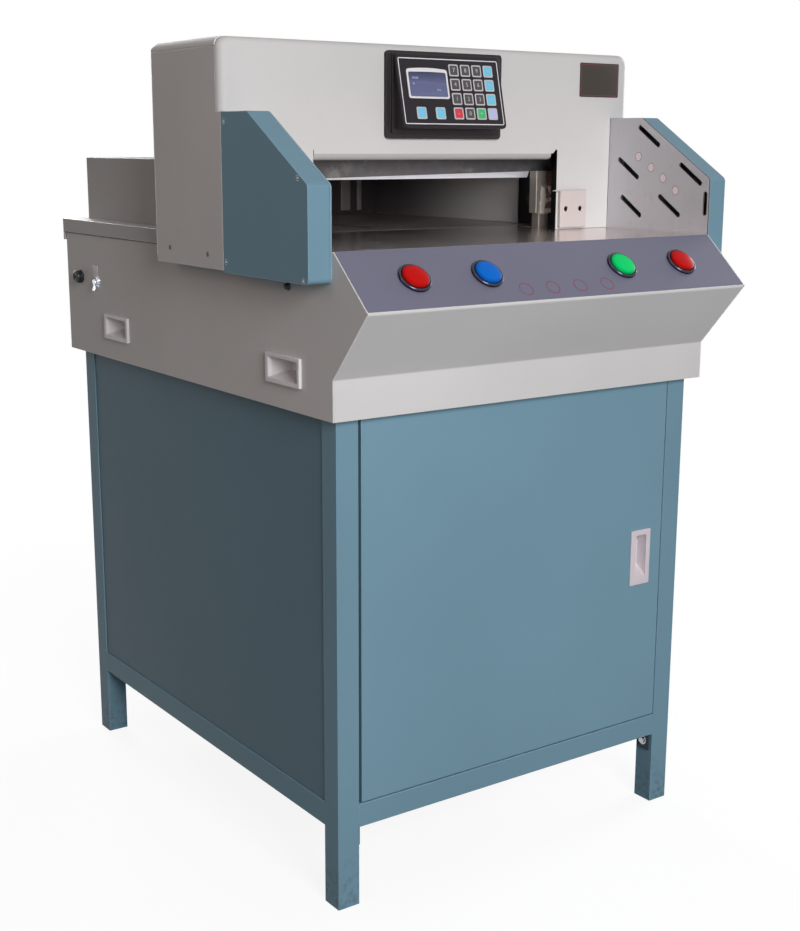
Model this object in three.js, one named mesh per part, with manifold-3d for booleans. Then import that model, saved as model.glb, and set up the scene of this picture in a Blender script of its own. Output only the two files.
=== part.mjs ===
// Programmable paper cutter on a cabinet stand, in millimetres, +Z up.
// The origin is on the floor under the middle of the machine; the operator stands at -Y.
import * as THREE from "three";
import { ConvexGeometry } from "three/addons/geometries/ConvexGeometry.js";
import { mergeVertices } from "three/addons/utils/BufferGeometryUtils.js";
import Module from "manifold-3d";

const wasm = await Module();
wasm.setup();

// Sheets, clearances, the run of a weld into its neighbour and of a cut past a face
const SHEET = 2;
const SEAT = 0.3;
const RUNNING_GAP = 0.4;
const WELD = 2;
const OVERRUN = 20;
const BEND_RADIUS = 8;

// How finely round things are drawn
const ROUND_SIDES = 32;
const SMALL_SIDES = 16;
const HEX_SIDES = 6;
const BEND_STEPS = 4;

// Stand
const STAND_WIDTH = 700;
const STAND_SETBACK = 19;
const STAND_BACK_SETBACK = 26;
const TUBE = 38;
const TUBE_WALL = 2;
const FOOT_THICKNESS = 3;
const RAIL_HEIGHT = 128;
const VENT_RADIUS = 4;
const PANEL_INSET = 2;
const FLOOR_BEARING = 15;
const BRACKET_THICKNESS = 4;
const BRACKET_DROP = 31;
const BRACKET_DEPTH = 30;
const BRACKET_BOLT_RADIUS = 6;
const BRACKET_BOLT_HEAD = 4;

// Cabinet door
const DOOR_THICKNESS = 20;
const DOOR_HINGE_GAP = 5;
const DOOR_EDGE_GAP = 2;
const DOOR_BOTTOM_GAP = 2.5;
const HINGE_PIN_RADIUS = 4;
const HINGE_PIN_INSET = 8;
const HANDLE_FROM_RIGHT_EDGE = 49;
const HANDLE_DROP = 302.5;

// Flush hand cups of the door and the body
const CUP_LENGTH = 96;
const CUP_WIDTH = 44;
const CUP_LIP = 4;
const CUP_FLANGE = 2.5;
const CUP_DEPTH = 15;
const CUP_WALL = 1.6;
const CUP_RIDGE_LENGTH = 46;
const CUP_RIDGE_WIDTH = 4;

// Machine body under the table
const BODY_OVERHANG = 17;
const BODY_DEPTH = 925;
const STRIP_HEIGHT = 60;
const NOSE_RISE = 101;
const NOSE_REACH = 88;
const NOSE_RADIUS = 5;
const PANEL_STEP = 3;
const TABLE_HEIGHT = 1004;
const BODY_HEIGHT = 238;
const TABLE_THICKNESS = 14;
const PAN_SHEET = 3;
const FOLD_LENGTH = 7;
const CUP_RISE = 59;
const FRONT_CUP_SETBACK = 130;
const REAR_CUP_FROM_BACK = 216;

// Rear lid and the cover of the back gauge
const LID_RISE = 5;
const LID_OVERHANG = 7;
const LID_SIDE_OVERHANG = 3;
const LID_SIDE_LIP = 24;
const LID_BACK_LIP = 39;
const REAR_BOX_INSET = 45;
const REAR_BOX_HEIGHT = 117;
const REAR_BOX_SHEET = 2.5;
const REAR_BOX_REACH = 31;
const REAR_BOX_BACK_GAP = 10;

// Electrical entries on the left side
const GLAND_FROM_BACK = 63;
const GLAND_DROP = 98.5;
const GLAND_RADIUS = 12.5;
const GLAND_REACH = 14;
const GLAND_BORE_RADIUS = 5.5;
const GLAND_THREAD_RADIUS = 9;
const GLAND_TAIL = 12;
const GLAND_DOME = 4;
const SWITCH_FROM_BACK = 138;
const SWITCH_DROP = 102.5;
const SWITCH_BODY_WIDTH = 20;
const SWITCH_BODY_DEPTH = 30;
const SWITCH_BUSH_RADIUS = 6;
const SWITCH_BUSH_REACH = 3.5;
const SWITCH_NUT_RADIUS = 8.5;
const SWITCH_NUT_THICKNESS = 3;
const LEVER_BALL_RADIUS = 5;
const LEVER_ROOT_RADIUS = 2.6;
const LEVER_TIP_RADIUS = 4;
const LEVER_LENGTH = 17;
const GROMMET_SETBACK = 116;
const GROMMET_DROP = 12;
const GROMMET_RADIUS = 9;
const GROMMET_REACH = 14;

// Head
const HEAD_OVERHANG = 38;
const HEAD_SETBACK = 239;
const HEAD_DEPTH = 223;
const HEAD_HEIGHT = 296;
const HEAD_DROP = 41;
const HEAD_EDGE_RADIUS = 12;
const HEAD_RETURN = 14;
const HEAD_BACK_CHAMFER = 17;
const HEAD_BACK_CHAMFER_RISE = 10;
const THROAT_INSET = 120.5;
const LIP_HEIGHT = 119;
const LIP_RADIUS = 10;
const LIP_RETURN = 10;
const NOTCH_WIDTH = 14;
const NOTCH_RISE = 17;

// Side guards
const GUARD_RISE = 189;
const GUARD_SLOPE_RISE = 90;
const GUARD_SLOPE_RUN = 161.5;
const GUARD_DROP = 44;
const GUARD_PLATE = 2.5;
const SLOT_WIDTH = 8.5;
const SLOT_LENGTH = 61;
const END_SLOT_LENGTH = 39;

// Control console
const CONSOLE_WIDTH = 229.5;
const CONSOLE_X = -1.5;
const KEY_PANEL_X = -4.5;
const CONSOLE_HEIGHT = 134;
const CONSOLE_TOP_MARGIN = 10;
const CONSOLE_BASE_THICKNESS = 7;
const CONSOLE_STEP = 8;
const CONSOLE_STEP_THICKNESS = 4;
const CONSOLE_CORNER = 6;
const CONSOLE_TILT = 13.3;
const KEY_PANEL_WIDTH = 205;
const KEY_PANEL_HEIGHT = 115.5;
const KEY_PANEL_THICKNESS = 5;
const KEY_PANEL_CORNER = 7;
const KEY_PANEL_TOP_DROP = 6;
const HOUSING_MARGIN = 4;
const SCREEN_WIDTH = 79;
const SCREEN_HEIGHT = 46;
const SCREEN_THICKNESS = 1.4;
const SCREEN_LEFT_MARGIN = 16;
const SCREEN_TOP_MARGIN = 24;
const SCREEN_CORNER = 4;

// Push buttons
const BUTTON_RADIUS = 21;
const BUTTON_CROWN = 8;
const BUTTON_SHOULDER = 3.5;
const BUTTON_STEM = 10;
const BEZEL_RADIUS = 27;
const BEZEL_HEIGHT = 5;
const BEZEL_ROUNDING = 2;
const BEZEL_NECK_RADIUS = 23.5;
const BEZEL_NECK_LENGTH = 16;
const OUTER_BUTTON_INSET = 106;
const INNER_BUTTON_INSET = 234.5;

// Knife, its carrier and its drive
const KNIFE_SETBACK = 143;
const BLADE_THICKNESS = 12;
const BLADE_LEFT_GAP = 45;
const BLADE_RIGHT_GAP = 30;
const BLADE_HEIGHT = 102;
const BLADE_BEVEL = 26;
const KNIFE_OPENING = 85;
const KNIFE_TILT = 10;
const CARRIER_LEFT_GAP = 40;
const CARRIER_RIGHT_GAP = 14;
const CARRIER_THICKNESS = 35;
const CARRIER_LEFT_COVER = 2;
const CARRIER_RIGHT_COVER = 13;
const CARRIER_HEAD_HEIGHT = 70;
const STICK_SIDE_GAP = 26;
const STICK_WIDTH = 14;
const STICK_DEPTH = 10;
const ROD_INSET = 46;
const ROD_THICKNESS = 19;
const ROD_BLOCK_WIDTH = 36;
const ROD_BLOCK_TOP = 98;
const ROD_BLOCK_BOTTOM = 24;
const ROD_NECK_WIDTH = 22;
const YOKE_WIDTH = 94;
const YOKE_HEIGHT = 60;
const YOKE_SHIFT = 22;
const YOKE_PLAY = 10;
const CRANK_DROP = 154;
const CRANK_X_OFFSET = 14;
const CRANK_DISC_RADIUS = 54;
const CRANK_DISC_THICKNESS = 12;
const CRANK_PIN_RADIUS = 8;
const CRANK_PIN_LENGTH = 20;
const CRANK_SHAFT_RADIUS = 14;
const CRANK_SHAFT_LENGTH = 32;
const GEARBOX_WIDTH = 97;
const GEARBOX_DEPTH = 106;
const GEARBOX_HEIGHT = 136;
const GEARBOX_OFFSET = 6;
const MOTOR_RADIUS = 56;
const MOTOR_LENGTH = 195;
const ROD_GAP = 3;

// Clamp, frame and back gauge
const FRAME_WALL = 34;
const FRAME_SIDE_GAP = 3;
const FRAME_BACK_GAP = 7.2;
const UPRIGHT_LEAD = 72.5;
const FRAME_TOP_GAP = 10;
const FRAME_BEAM_HEIGHT = 100;
const CLAMP_GAP = 4;
const CLAMP_THICKNESS = 36;
const CLAMP_SIDE_GAP = 12;
const CLAMP_HEIGHT = 84;
const CLAMP_OPENING = 88;
const CLAMP_ROD_RADIUS = 12;
const CLAMP_ROD_LENGTH = 112;
const CLAMP_ROD_INSET = 130;
const GAUGE_SIDE_GAP = 30;
const GAUGE_HEIGHT = 80;
const GAUGE_THICKNESS = 8;
const GAUGE_SETBACK = 57;
const GAUGE_BASE_LENGTH = 120;
const GAUGE_BASE_DEPTH = 32;
const GAUGE_BASE_HEIGHT = 25;
const GAUGE_TRAVEL = 440;
const GAUGE_LUG_WIDTH = 12;
const GAUGE_LUG_DEPTH = 28;
const GAUGE_LUG_INSET = 2;
const GAUGE_NUT = 32;
const SCREW_RADIUS = 8;
const SCREW_DROP = 54;
const SCREW_BEARING_RADIUS = 16;
const SCREW_BEARING_LENGTH = 12;
const SCREW_START = 14.3;
const STEPPER_SIZE = 57;
const STEPPER_LENGTH = 88;
const STEPPER_BRACKET = 12;
const SIDE_LAY_WIDTH = 60;
const SIDE_LAY_HEIGHT = 64;
const SIDE_LAY_THICKNESS = 6;
const SIDE_LAY_LIFT = 3;
const SIDE_LAY_FROM_EDGE = 3.5;
const SIDE_LAY_TAB = 14;
const SIDE_LAY_TAB_THICKNESS = 2;
const SIDE_LAY_HOLE_RADIUS = 4.5;
const SIDE_LAY_HOLE_SPACING = 33;

// Planes that several pieces share
const BODY_FRONT = NOSE_REACH - (NOSE_REACH + BODY_DEPTH + LID_OVERHANG) / 2;
const BODY_BACK = BODY_FRONT + BODY_DEPTH;
const STAND_SIDE = STAND_WIDTH / 2;
const STAND_HEIGHT = TABLE_HEIGHT - BODY_HEIGHT;
const BODY_SIDE = STAND_SIDE + BODY_OVERHANG;
const BODY_INSIDE = BODY_SIDE - SHEET;
const STAND_FRONT = BODY_FRONT + STAND_SETBACK;
const STAND_BACK = BODY_BACK - STAND_BACK_SETBACK;
const LEG_INSIDE = STAND_SIDE - TUBE;
const RAIL_TOP = RAIL_HEIGHT + TUBE;
const PAN_TOP = STAND_HEIGHT + PAN_SHEET;
const STRIP_TOP = STAND_HEIGHT + STRIP_HEIGHT;
const NOSE_Y = BODY_FRONT - NOSE_REACH;
const NOSE_Z = STRIP_TOP + NOSE_RISE;
const PANEL_TOP_Y = BODY_FRONT - PANEL_STEP;
const PANEL_RUN = PANEL_TOP_Y - NOSE_Y;
const PANEL_CLIMB = TABLE_HEIGHT - NOSE_Z;
const PANEL_SLOPE = Math.atan2(PANEL_CLIMB, PANEL_RUN);
const PANEL_LENGTH = Math.hypot(PANEL_RUN, PANEL_CLIMB);
const TABLE_FRONT = PANEL_TOP_Y + SHEET * Math.sin(PANEL_SLOPE) + SEAT;
const TABLE_BOTTOM = TABLE_HEIGHT - TABLE_THICKNESS;
const LID_TOP = TABLE_HEIGHT + LID_RISE;
const LID_UNDER = LID_TOP - SHEET;
const HEAD_SIDE = BODY_SIDE + HEAD_OVERHANG;
const HEAD_WIDTH = 2 * HEAD_SIDE;
const HEAD_FRONT = BODY_FRONT + HEAD_SETBACK;
const HEAD_BACK = HEAD_FRONT + HEAD_DEPTH;
const HEAD_TOP = TABLE_HEIGHT + HEAD_HEIGHT;
const HEAD_BOTTOM = TABLE_HEIGHT - HEAD_DROP;
const HEAD_EAVE = HEAD_TOP - HEAD_RETURN;
const GUARD_TOP = TABLE_HEIGHT + GUARD_RISE;
const GUARD_BOTTOM = TABLE_HEIGHT - GUARD_DROP;
const LIP_Z = TABLE_HEIGHT + LIP_HEIGHT;
const THROAT_SIDE = BODY_SIDE - THROAT_INSET;
const CUP_Z = STAND_HEIGHT + CUP_RISE;
const GLAND_Z = TABLE_HEIGHT - GLAND_DROP;
const SWITCH_Z = TABLE_HEIGHT - SWITCH_DROP;
const BOX_SIDE = BODY_SIDE - REAR_BOX_INSET;
const BOX_FRONT = HEAD_BACK - REAR_BOX_REACH;
const BOX_BACK = BODY_BACK + LID_OVERHANG - REAR_BOX_BACK_GAP;
const BOX_TOP = TABLE_HEIGHT + REAR_BOX_HEIGHT;
const BLADE_BACK = HEAD_FRONT + KNIFE_SETBACK;
const BLADE_FRONT = BLADE_BACK - BLADE_THICKNESS;
const EDGE_Z = TABLE_HEIGHT + KNIFE_OPENING;
const CARRIER_FRONT = BLADE_FRONT - CARRIER_THICKNESS;
const FRAME_FRONT = BLADE_BACK + SEAT;
const FRAME_SIDE = BODY_SIDE - FRAME_SIDE_GAP;
const FRAME_INSIDE = FRAME_SIDE - FRAME_WALL;
const FRAME_TOP = HEAD_TOP - FRAME_TOP_GAP;
const BEAM_BOTTOM = FRAME_TOP - FRAME_BEAM_HEIGHT;
const FRAME_BACK = HEAD_BACK - FRAME_BACK_GAP;
const UPRIGHT_FRONT = FRAME_FRONT - UPRIGHT_LEAD;
const CLAMP_SIDE = FRAME_INSIDE - CLAMP_SIDE_GAP;
const CLAMP_ROD_X = FRAME_INSIDE - CLAMP_ROD_INSET;
const STICK_SIDE = FRAME_INSIDE - STICK_SIDE_GAP;
const GAUGE_SIDE = FRAME_INSIDE - GAUGE_SIDE_GAP;
const CLAMP_FRONT = BLADE_BACK + CLAMP_GAP;
const CLAMP_BOTTOM = TABLE_HEIGHT + CLAMP_OPENING;
const CLAMP_TOP = CLAMP_BOTTOM + CLAMP_HEIGHT;
const SCREW_Z = TABLE_HEIGHT - SCREW_DROP;
const GAUGE_FRONT = BODY_BACK - GAUGE_SETBACK;
const GAUGE_BACK = GAUGE_FRONT + GAUGE_THICKNESS;
const LUG_BACK = GAUGE_BACK + GAUGE_BASE_DEPTH - GAUGE_LUG_INSET;
const LUG_FRONT = LUG_BACK - GAUGE_LUG_DEPTH;
const ROD_BACK = CARRIER_FRONT - SEAT;
const ROD_FRONT = ROD_BACK - ROD_THICKNESS;
const ROD_X = FRAME_INSIDE - ROD_INSET;
const CRANK_X = ROD_X - CRANK_X_OFFSET;
const CRANK_Z = TABLE_HEIGHT - CRANK_DROP;
const KNIFE_DROP = KNIFE_OPENING - SEAT;
const KNIFE_DRIFT = KNIFE_DROP * Math.tan(THREE.MathUtils.degToRad(KNIFE_TILT));
const CRANK_RADIUS = KNIFE_DROP / 2;
const DISC_FRONT = ROD_BACK + ROD_GAP;
const DISC_BACK = DISC_FRONT + CRANK_DISC_THICKNESS;

// Paint, metal and plastic
function finish(color, roughness, metalness) {
  return new THREE.MeshStandardMaterial({ color, roughness, metalness });
}

const bluePaint = finish(0x6f8ea1, 0.5, 0.1);
const greyPaint = finish(0xc8c4c2, 0.5, 0.1);
const panelPaint = finish(0x74758a, 0.45, 0.2);
const whitePlastic = finish(0xe6e4e2, 0.45, 0);
const blackPlastic = finish(0x1b1c1e, 0.5, 0);
const chrome = finish(0xd8dadd, 0.12, 1);
const brushedSteel = finish(0x9d989a, 0.35, 0.9);
const polishedSteel = finish(0xb5b0aa, 0.15, 0.95);
const castIron = finish(0x4a4c4f, 0.7, 0.4);
const redPlastic = finish(0xb3120b, 0.3, 0);
const bluePlastic = finish(0x0a60b9, 0.3, 0);
const greenPlastic = finish(0x06c86a, 0.3, 0);
const screenGlass = finish(0x5c6284, 0.15, 0);
const stickPlastic = finish(0xd9d4c4, 0.5, 0);

// Solids, joins and cuts
function toSolid(geometry) {
  const flat = geometry.index ? geometry.toNonIndexed() : geometry;
  const bare = new THREE.BufferGeometry();
  bare.setAttribute("position", flat.getAttribute("position"));
  const merged = mergeVertices(bare);
  return new wasm.Manifold(
    new wasm.Mesh({
      numProp: 3,
      vertProperties: merged.attributes.position.array,
      triVerts: new Uint32Array(merged.index.array),
    }),
  );
}

function toGeometry(solid) {
  const mesh = solid.getMesh();
  const geometry = new THREE.BufferGeometry();
  geometry.setAttribute("position", new THREE.BufferAttribute(mesh.vertProperties, 3));
  geometry.setIndex(new THREE.BufferAttribute(mesh.triVerts, 1));
  const shaded = geometry.toNonIndexed();
  shaded.computeVertexNormals();
  return shaded;
}

function join(...geometries) {
  return toGeometry(geometries.map(toSolid).reduce((whole, next) => whole.add(next)));
}

function cut(geometry, ...tools) {
  return toGeometry(tools.map(toSolid).reduce((left, tool) => left.subtract(tool), toSolid(geometry)));
}

function common(first, second) {
  return toGeometry(toSolid(first).intersect(toSolid(second)));
}

// A box between two limits on each axis.
function block([x0, x1], [y0, y1], [z0, z1]) {
  const geometry = new THREE.BoxGeometry(Math.abs(x1 - x0), Math.abs(y1 - y0), Math.abs(z1 - z0));
  return geometry.translate((x0 + x1) / 2, (y0 + y1) / 2, (z0 + z1) / 2);
}

// An outline pushed along an axis: [y, z] points along x, [x, z] points along y, [x, y] points along z.
const TURNS = {
  x: new THREE.Matrix4().makeBasis(
    new THREE.Vector3(0, 1, 0),
    new THREE.Vector3(0, 0, 1),
    new THREE.Vector3(1, 0, 0),
  ),
  y: new THREE.Matrix4().makeBasis(
    new THREE.Vector3(1, 0, 0),
    new THREE.Vector3(0, 0, 1),
    new THREE.Vector3(0, -1, 0),
  ),
  z: new THREE.Matrix4(),
};

function prism(axis, outline, from, to) {
  const shape = new THREE.Shape(outline.map(([u, v]) => new THREE.Vector2(u, v)));
  const low = Math.min(from, to);
  const high = Math.max(from, to);
  const geometry = new THREE.ExtrudeGeometry(shape, { depth: high - low, bevelEnabled: false });
  geometry.translate(0, 0, axis === "y" ? -high : low);
  return geometry.applyMatrix4(TURNS[axis]);
}

// A round bar along an axis, at the other two coordinates, from one limit to the other.
function rod(axis, radius, [u, v], from, to, sides = ROUND_SIDES, endRadius = radius) {
  const geometry = new THREE.CylinderGeometry(endRadius, radius, Math.abs(to - from), sides);
  const middle = (from + to) / 2;
  if (to < from) {
    geometry.rotateX(Math.PI);
  }
  if (axis === "x") {
    return geometry.rotateZ(-Math.PI / 2).translate(middle, u, v);
  }
  if (axis === "y") {
    return geometry.translate(u, middle, v);
  }
  return geometry.rotateX(Math.PI / 2).translate(u, v, middle);
}

// The points of a bend of the given radius that replaces the corner b of a to b to c, and their normals.
function bendSamples(a, b, c, radius) {
  const into = new THREE.Vector2().subVectors(b, a).normalize();
  const away = new THREE.Vector2().subVectors(c, b).normalize();
  const turn = Math.atan2(into.cross(away), into.dot(away));
  const reach = radius * Math.tan(Math.abs(turn) / 2);
  const start = b.clone().addScaledVector(into, -reach);
  const side = Math.sign(turn);
  const normal = new THREE.Vector2(-into.y, into.x);
  const centre = start.clone().addScaledVector(normal, side * radius);
  return Array.from({ length: BEND_STEPS + 1 }, (_, step) => {
    const turned = normal.clone().rotateAround(new THREE.Vector2(), (turn * step) / BEND_STEPS);
    return { point: centre.clone().addScaledVector(turned, -side * radius), normal: turned };
  });
}

// The closed outline of a sheet bent along a path; its other face lies to the left of the path.
function bentSheet(path, thickness, radius = BEND_RADIUS) {
  const points = path.map(([u, v]) => new THREE.Vector2(u, v));
  const last = points.length - 1;
  const normalOf = (a, b) => {
    const along = new THREE.Vector2().subVectors(b, a).normalize();
    return new THREE.Vector2(-along.y, along.x);
  };
  const samples = [{ point: points[0], normal: normalOf(points[0], points[1]) }];
  for (let i = 1; i < last; i += 1) {
    samples.push(...bendSamples(points[i - 1], points[i], points[i + 1], radius));
  }
  samples.push({ point: points[last], normal: normalOf(points[last - 1], points[last]) });
  const face = samples.map(({ point }) => [point.x, point.y]);
  const back = samples.map(({ point, normal }) => [
    point.x + normal.x * thickness,
    point.y + normal.y * thickness,
  ]);
  return [...face, ...back.reverse()];
}

// A closed outline with every corner rounded.
function roundedOutline(corners, radius) {
  const points = corners.map(([u, v]) => new THREE.Vector2(u, v));
  const count = points.length;
  return points.flatMap((corner, i) => {
    const before = points[(i + count - 1) % count];
    const after = points[(i + 1) % count];
    return bendSamples(before, corner, after, radius).map(({ point }) => [point.x, point.y]);
  });
}

function rectangle([u0, u1], [v0, v1]) {
  return [
    [u0, v0],
    [u1, v0],
    [u1, v1],
    [u0, v1],
  ];
}

function piece(name, geometry, material) {
  const mesh = new THREE.Mesh(geometry, material);
  mesh.name = name;
  return mesh;
}

function assembly(...children) {
  const group = new THREE.Group();
  group.add(...children);
  return group;
}

// The two sides of the machine
const SIDES = [
  { label: "left", sign: -1 },
  { label: "right", sign: 1 },
];

// Hand cup: a flange on the surface and a hipped recess behind it, drawn along Z with its mouth at 0.
function cupGeometry() {
  const halfLength = CUP_LENGTH / 2;
  const halfWidth = CUP_WIDTH / 2;
  const corners = (u, v, z) =>
    rectangle([-u, u], [-v, v]).map(([x, y]) => new THREE.Vector3(x, y, z));
  const pocket = (grow, depth) =>
    new ConvexGeometry([
      ...corners(halfLength - CUP_LIP + grow, halfWidth - CUP_LIP + grow, 0),
      ...corners(CUP_RIDGE_LENGTH / 2 + grow, CUP_RIDGE_WIDTH / 2 + grow, -depth),
    ]);
  const flange = block([-halfLength, halfLength], [-halfWidth, halfWidth], [0, CUP_FLANGE]);
  const mouth = block(
    [CUP_LIP - halfLength, halfLength - CUP_LIP],
    [CUP_LIP - halfWidth, halfWidth - CUP_LIP],
    [-CUP_WALL / 2, CUP_FLANGE + OVERRUN],
  );
  return cut(join(flange, pocket(CUP_WALL, CUP_DEPTH + CUP_WALL)), pocket(0, CUP_DEPTH), mouth);
}

// The hole that a hand cup sits in, drawn as the cup is.
function cupHole() {
  const halfLength = CUP_LENGTH / 2 - CUP_LIP + CUP_WALL + SEAT;
  const halfWidth = CUP_WIDTH / 2 - CUP_LIP + CUP_WALL + SEAT;
  return block([-halfLength, halfLength], [-halfWidth, halfWidth], [-OVERRUN, OVERRUN]);
}

// Turns a shape drawn along Z so that it faces out of a side of the body.
function facingSide(geometry, sign, y, z) {
  geometry.rotateX(Math.PI / 2).rotateZ((sign * Math.PI) / 2);
  return geometry.translate(sign * (BODY_SIDE + SEAT), y, z);
}

// Stand
function standSide(sign) {
  const outer = sign * STAND_SIDE;
  const inner = sign * LEG_INSIDE;
  const hollow = [outer - sign * TUBE_WALL, inner + sign * TUBE_WALL];
  const legs = [STAND_FRONT, STAND_BACK - TUBE].map((y) =>
    cut(
      block([outer, inner], [y, y + TUBE], [0, STAND_HEIGHT]),
      block(hollow, [y + TUBE_WALL, y + TUBE - TUBE_WALL], [FOOT_THICKNESS, STAND_HEIGHT + OVERRUN]),
    ),
  );
  const railFrom = STAND_FRONT + TUBE;
  const railTo = STAND_BACK - TUBE;
  const rail = cut(
    block([outer, inner], [railFrom, railTo], [RAIL_HEIGHT, RAIL_TOP]),
    block(hollow, [railFrom - OVERRUN, railTo + OVERRUN], [RAIL_HEIGHT + TUBE_WALL, RAIL_TOP - TUBE_WALL]),
  );
  const vent = rod(
    "z",
    VENT_RADIUS,
    [(outer + inner) / 2, railFrom + TUBE],
    RAIL_HEIGHT - OVERRUN,
    RAIL_HEIGHT + TUBE / 2,
    SMALL_SIDES,
  );
  return cut(join(...legs, rail), vent);
}

function crossRail(front) {
  const span = [-LEG_INSIDE, LEG_INSIDE];
  return cut(
    block(span, [front, front + TUBE], [RAIL_HEIGHT, RAIL_TOP]),
    block(
      [-LEG_INSIDE - OVERRUN, LEG_INSIDE + OVERRUN],
      [front + TUBE_WALL, front + TUBE - TUBE_WALL],
      [RAIL_HEIGHT + TUBE_WALL, RAIL_TOP - TUBE_WALL],
    ),
  );
}

function cabinetSidePanel(sign) {
  const face = sign * (STAND_SIDE - PANEL_INSET);
  const yRange = [STAND_FRONT + TUBE, STAND_BACK - TUBE];
  return block([face, face - sign * SHEET], yRange, [RAIL_TOP, STAND_HEIGHT]);
}

function railBracket(sign) {
  const face = sign * LEG_INSIDE;
  const plateFace = face - sign * BRACKET_THICKNESS;
  const middleY = STAND_FRONT + TUBE / 2;
  const yRange = [middleY - BRACKET_DEPTH / 2, middleY + BRACKET_DEPTH / 2];
  const plate = block([face, plateFace], yRange, [RAIL_HEIGHT - BRACKET_DROP, RAIL_HEIGHT]);
  const headZ = RAIL_HEIGHT - BRACKET_DROP / 2;
  const head = rod(
    "x",
    BRACKET_BOLT_RADIUS,
    [middleY, headZ],
    plateFace + sign * WELD,
    plateFace - sign * BRACKET_BOLT_HEAD,
    HEX_SIDES,
  );
  return join(plate, head);
}

const stand = assembly(
  ...SIDES.map(({ label, sign }) => piece(`stand_side_${label}`, standSide(sign), bluePaint)),
  piece("lower_rail_front", crossRail(STAND_FRONT), bluePaint),
  piece("lower_rail_rear", crossRail(STAND_BACK - TUBE), bluePaint),
  ...SIDES.map(({ label, sign }) => piece(`cabinet_panel_${label}`, cabinetSidePanel(sign), bluePaint)),
  piece(
    "cabinet_panel_rear",
    block(
      [-LEG_INSIDE, LEG_INSIDE],
      [STAND_BACK - PANEL_INSET - SHEET, STAND_BACK - PANEL_INSET],
      [RAIL_TOP, STAND_HEIGHT],
    ),
    bluePaint,
  ),
  piece(
    "cabinet_floor",
    block(
      [-LEG_INSIDE, LEG_INSIDE],
      [STAND_FRONT + TUBE - FLOOR_BEARING, STAND_BACK - PANEL_INSET - SHEET - SEAT],
      [RAIL_TOP, RAIL_TOP + SHEET],
    ),
    bluePaint,
  ),
  ...SIDES.map(({ label, sign }) => piece(`rail_bracket_${label}`, railBracket(sign), bluePaint)),
);

// Cabinet door, hung on a pin at its left edge
const DOOR_LEFT = -LEG_INSIDE + DOOR_HINGE_GAP;
const DOOR_RIGHT = LEG_INSIDE - DOOR_EDGE_GAP;
const DOOR_BOTTOM = RAIL_TOP + DOOR_BOTTOM_GAP;
const DOOR_TOP = STAND_HEIGHT - DOOR_EDGE_GAP;
const HINGE_X = DOOR_LEFT + HINGE_PIN_INSET;
const HINGE_Y = STAND_FRONT + HINGE_PIN_INSET;
const HANDLE_X = DOOR_RIGHT - HANDLE_FROM_RIGHT_EDGE;

function facingFront(geometry) {
  geometry.rotateZ(Math.PI / 2).rotateX(Math.PI / 2);
  return geometry.translate(HANDLE_X, STAND_FRONT - SEAT, STAND_HEIGHT - HANDLE_DROP);
}

function doorGeometry() {
  const outer = block(
    [DOOR_LEFT, DOOR_RIGHT],
    [STAND_FRONT, STAND_FRONT + DOOR_THICKNESS],
    [DOOR_BOTTOM, DOOR_TOP],
  );
  const inside = block(
    [DOOR_LEFT + SHEET, DOOR_RIGHT - SHEET],
    [STAND_FRONT + SHEET, STAND_FRONT + DOOR_THICKNESS + OVERRUN],
    [DOOR_BOTTOM + SHEET, DOOR_TOP - SHEET],
  );
  const pinHole = rod(
    "z",
    HINGE_PIN_RADIUS + RUNNING_GAP,
    [HINGE_X, HINGE_Y],
    DOOR_BOTTOM - OVERRUN,
    DOOR_TOP + OVERRUN,
    SMALL_SIDES,
  );
  return cut(outer, inside, pinHole, facingFront(cupHole()));
}

const doorPin = rod("z", HINGE_PIN_RADIUS, [HINGE_X, HINGE_Y], RAIL_TOP, STAND_HEIGHT, SMALL_SIDES);
const door = assembly(
  piece("cabinet_door", doorGeometry(), bluePaint),
  piece("door_handle", facingFront(cupGeometry()), whitePlastic),
  piece("door_hinge_pin", doorPin, brushedSteel),
);

// Machine body: sides, folded skirt, pan, table, lid and box
const CUP_PLACES = [
  { label: "front", y: BODY_FRONT + FRONT_CUP_SETBACK },
  { label: "rear", y: BODY_BACK - REAR_CUP_FROM_BACK },
];
const GLAND_Y = BODY_BACK - GLAND_FROM_BACK;
const SWITCH_Y = BODY_BACK - SWITCH_FROM_BACK;
const GROMMET_Y = BODY_FRONT + GROMMET_SETBACK;
const GROMMET_Z = GUARD_BOTTOM - GROMMET_DROP;

function bodySide(sign) {
  const outline = [
    [BODY_FRONT, STAND_HEIGHT],
    [BODY_BACK, STAND_HEIGHT],
    [BODY_BACK, LID_UNDER - SEAT],
    [HEAD_FRONT + SHEET + SEAT, LID_UNDER - SEAT],
    [HEAD_FRONT + SHEET + SEAT, TABLE_HEIGHT],
    [PANEL_TOP_Y, TABLE_HEIGHT],
    [NOSE_Y, NOSE_Z],
    [BODY_FRONT, STRIP_TOP],
  ];
  const sheet = prism("x", outline, sign * BODY_INSIDE, sign * BODY_SIDE);
  const holes = CUP_PLACES.map(({ y }) => facingSide(cupHole(), sign, y, CUP_Z));
  if (sign < 0) {
    const through = [-BODY_SIDE - OVERRUN, -BODY_INSIDE + OVERRUN];
    holes.push(
      rod("x", GLAND_THREAD_RADIUS + SEAT, [GLAND_Y, GLAND_Z], ...through, SMALL_SIDES),
      rod("x", SWITCH_BUSH_RADIUS + SEAT, [SWITCH_Y, SWITCH_Z], ...through, SMALL_SIDES),
    );
  }
  return cut(sheet, ...holes);
}

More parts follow.
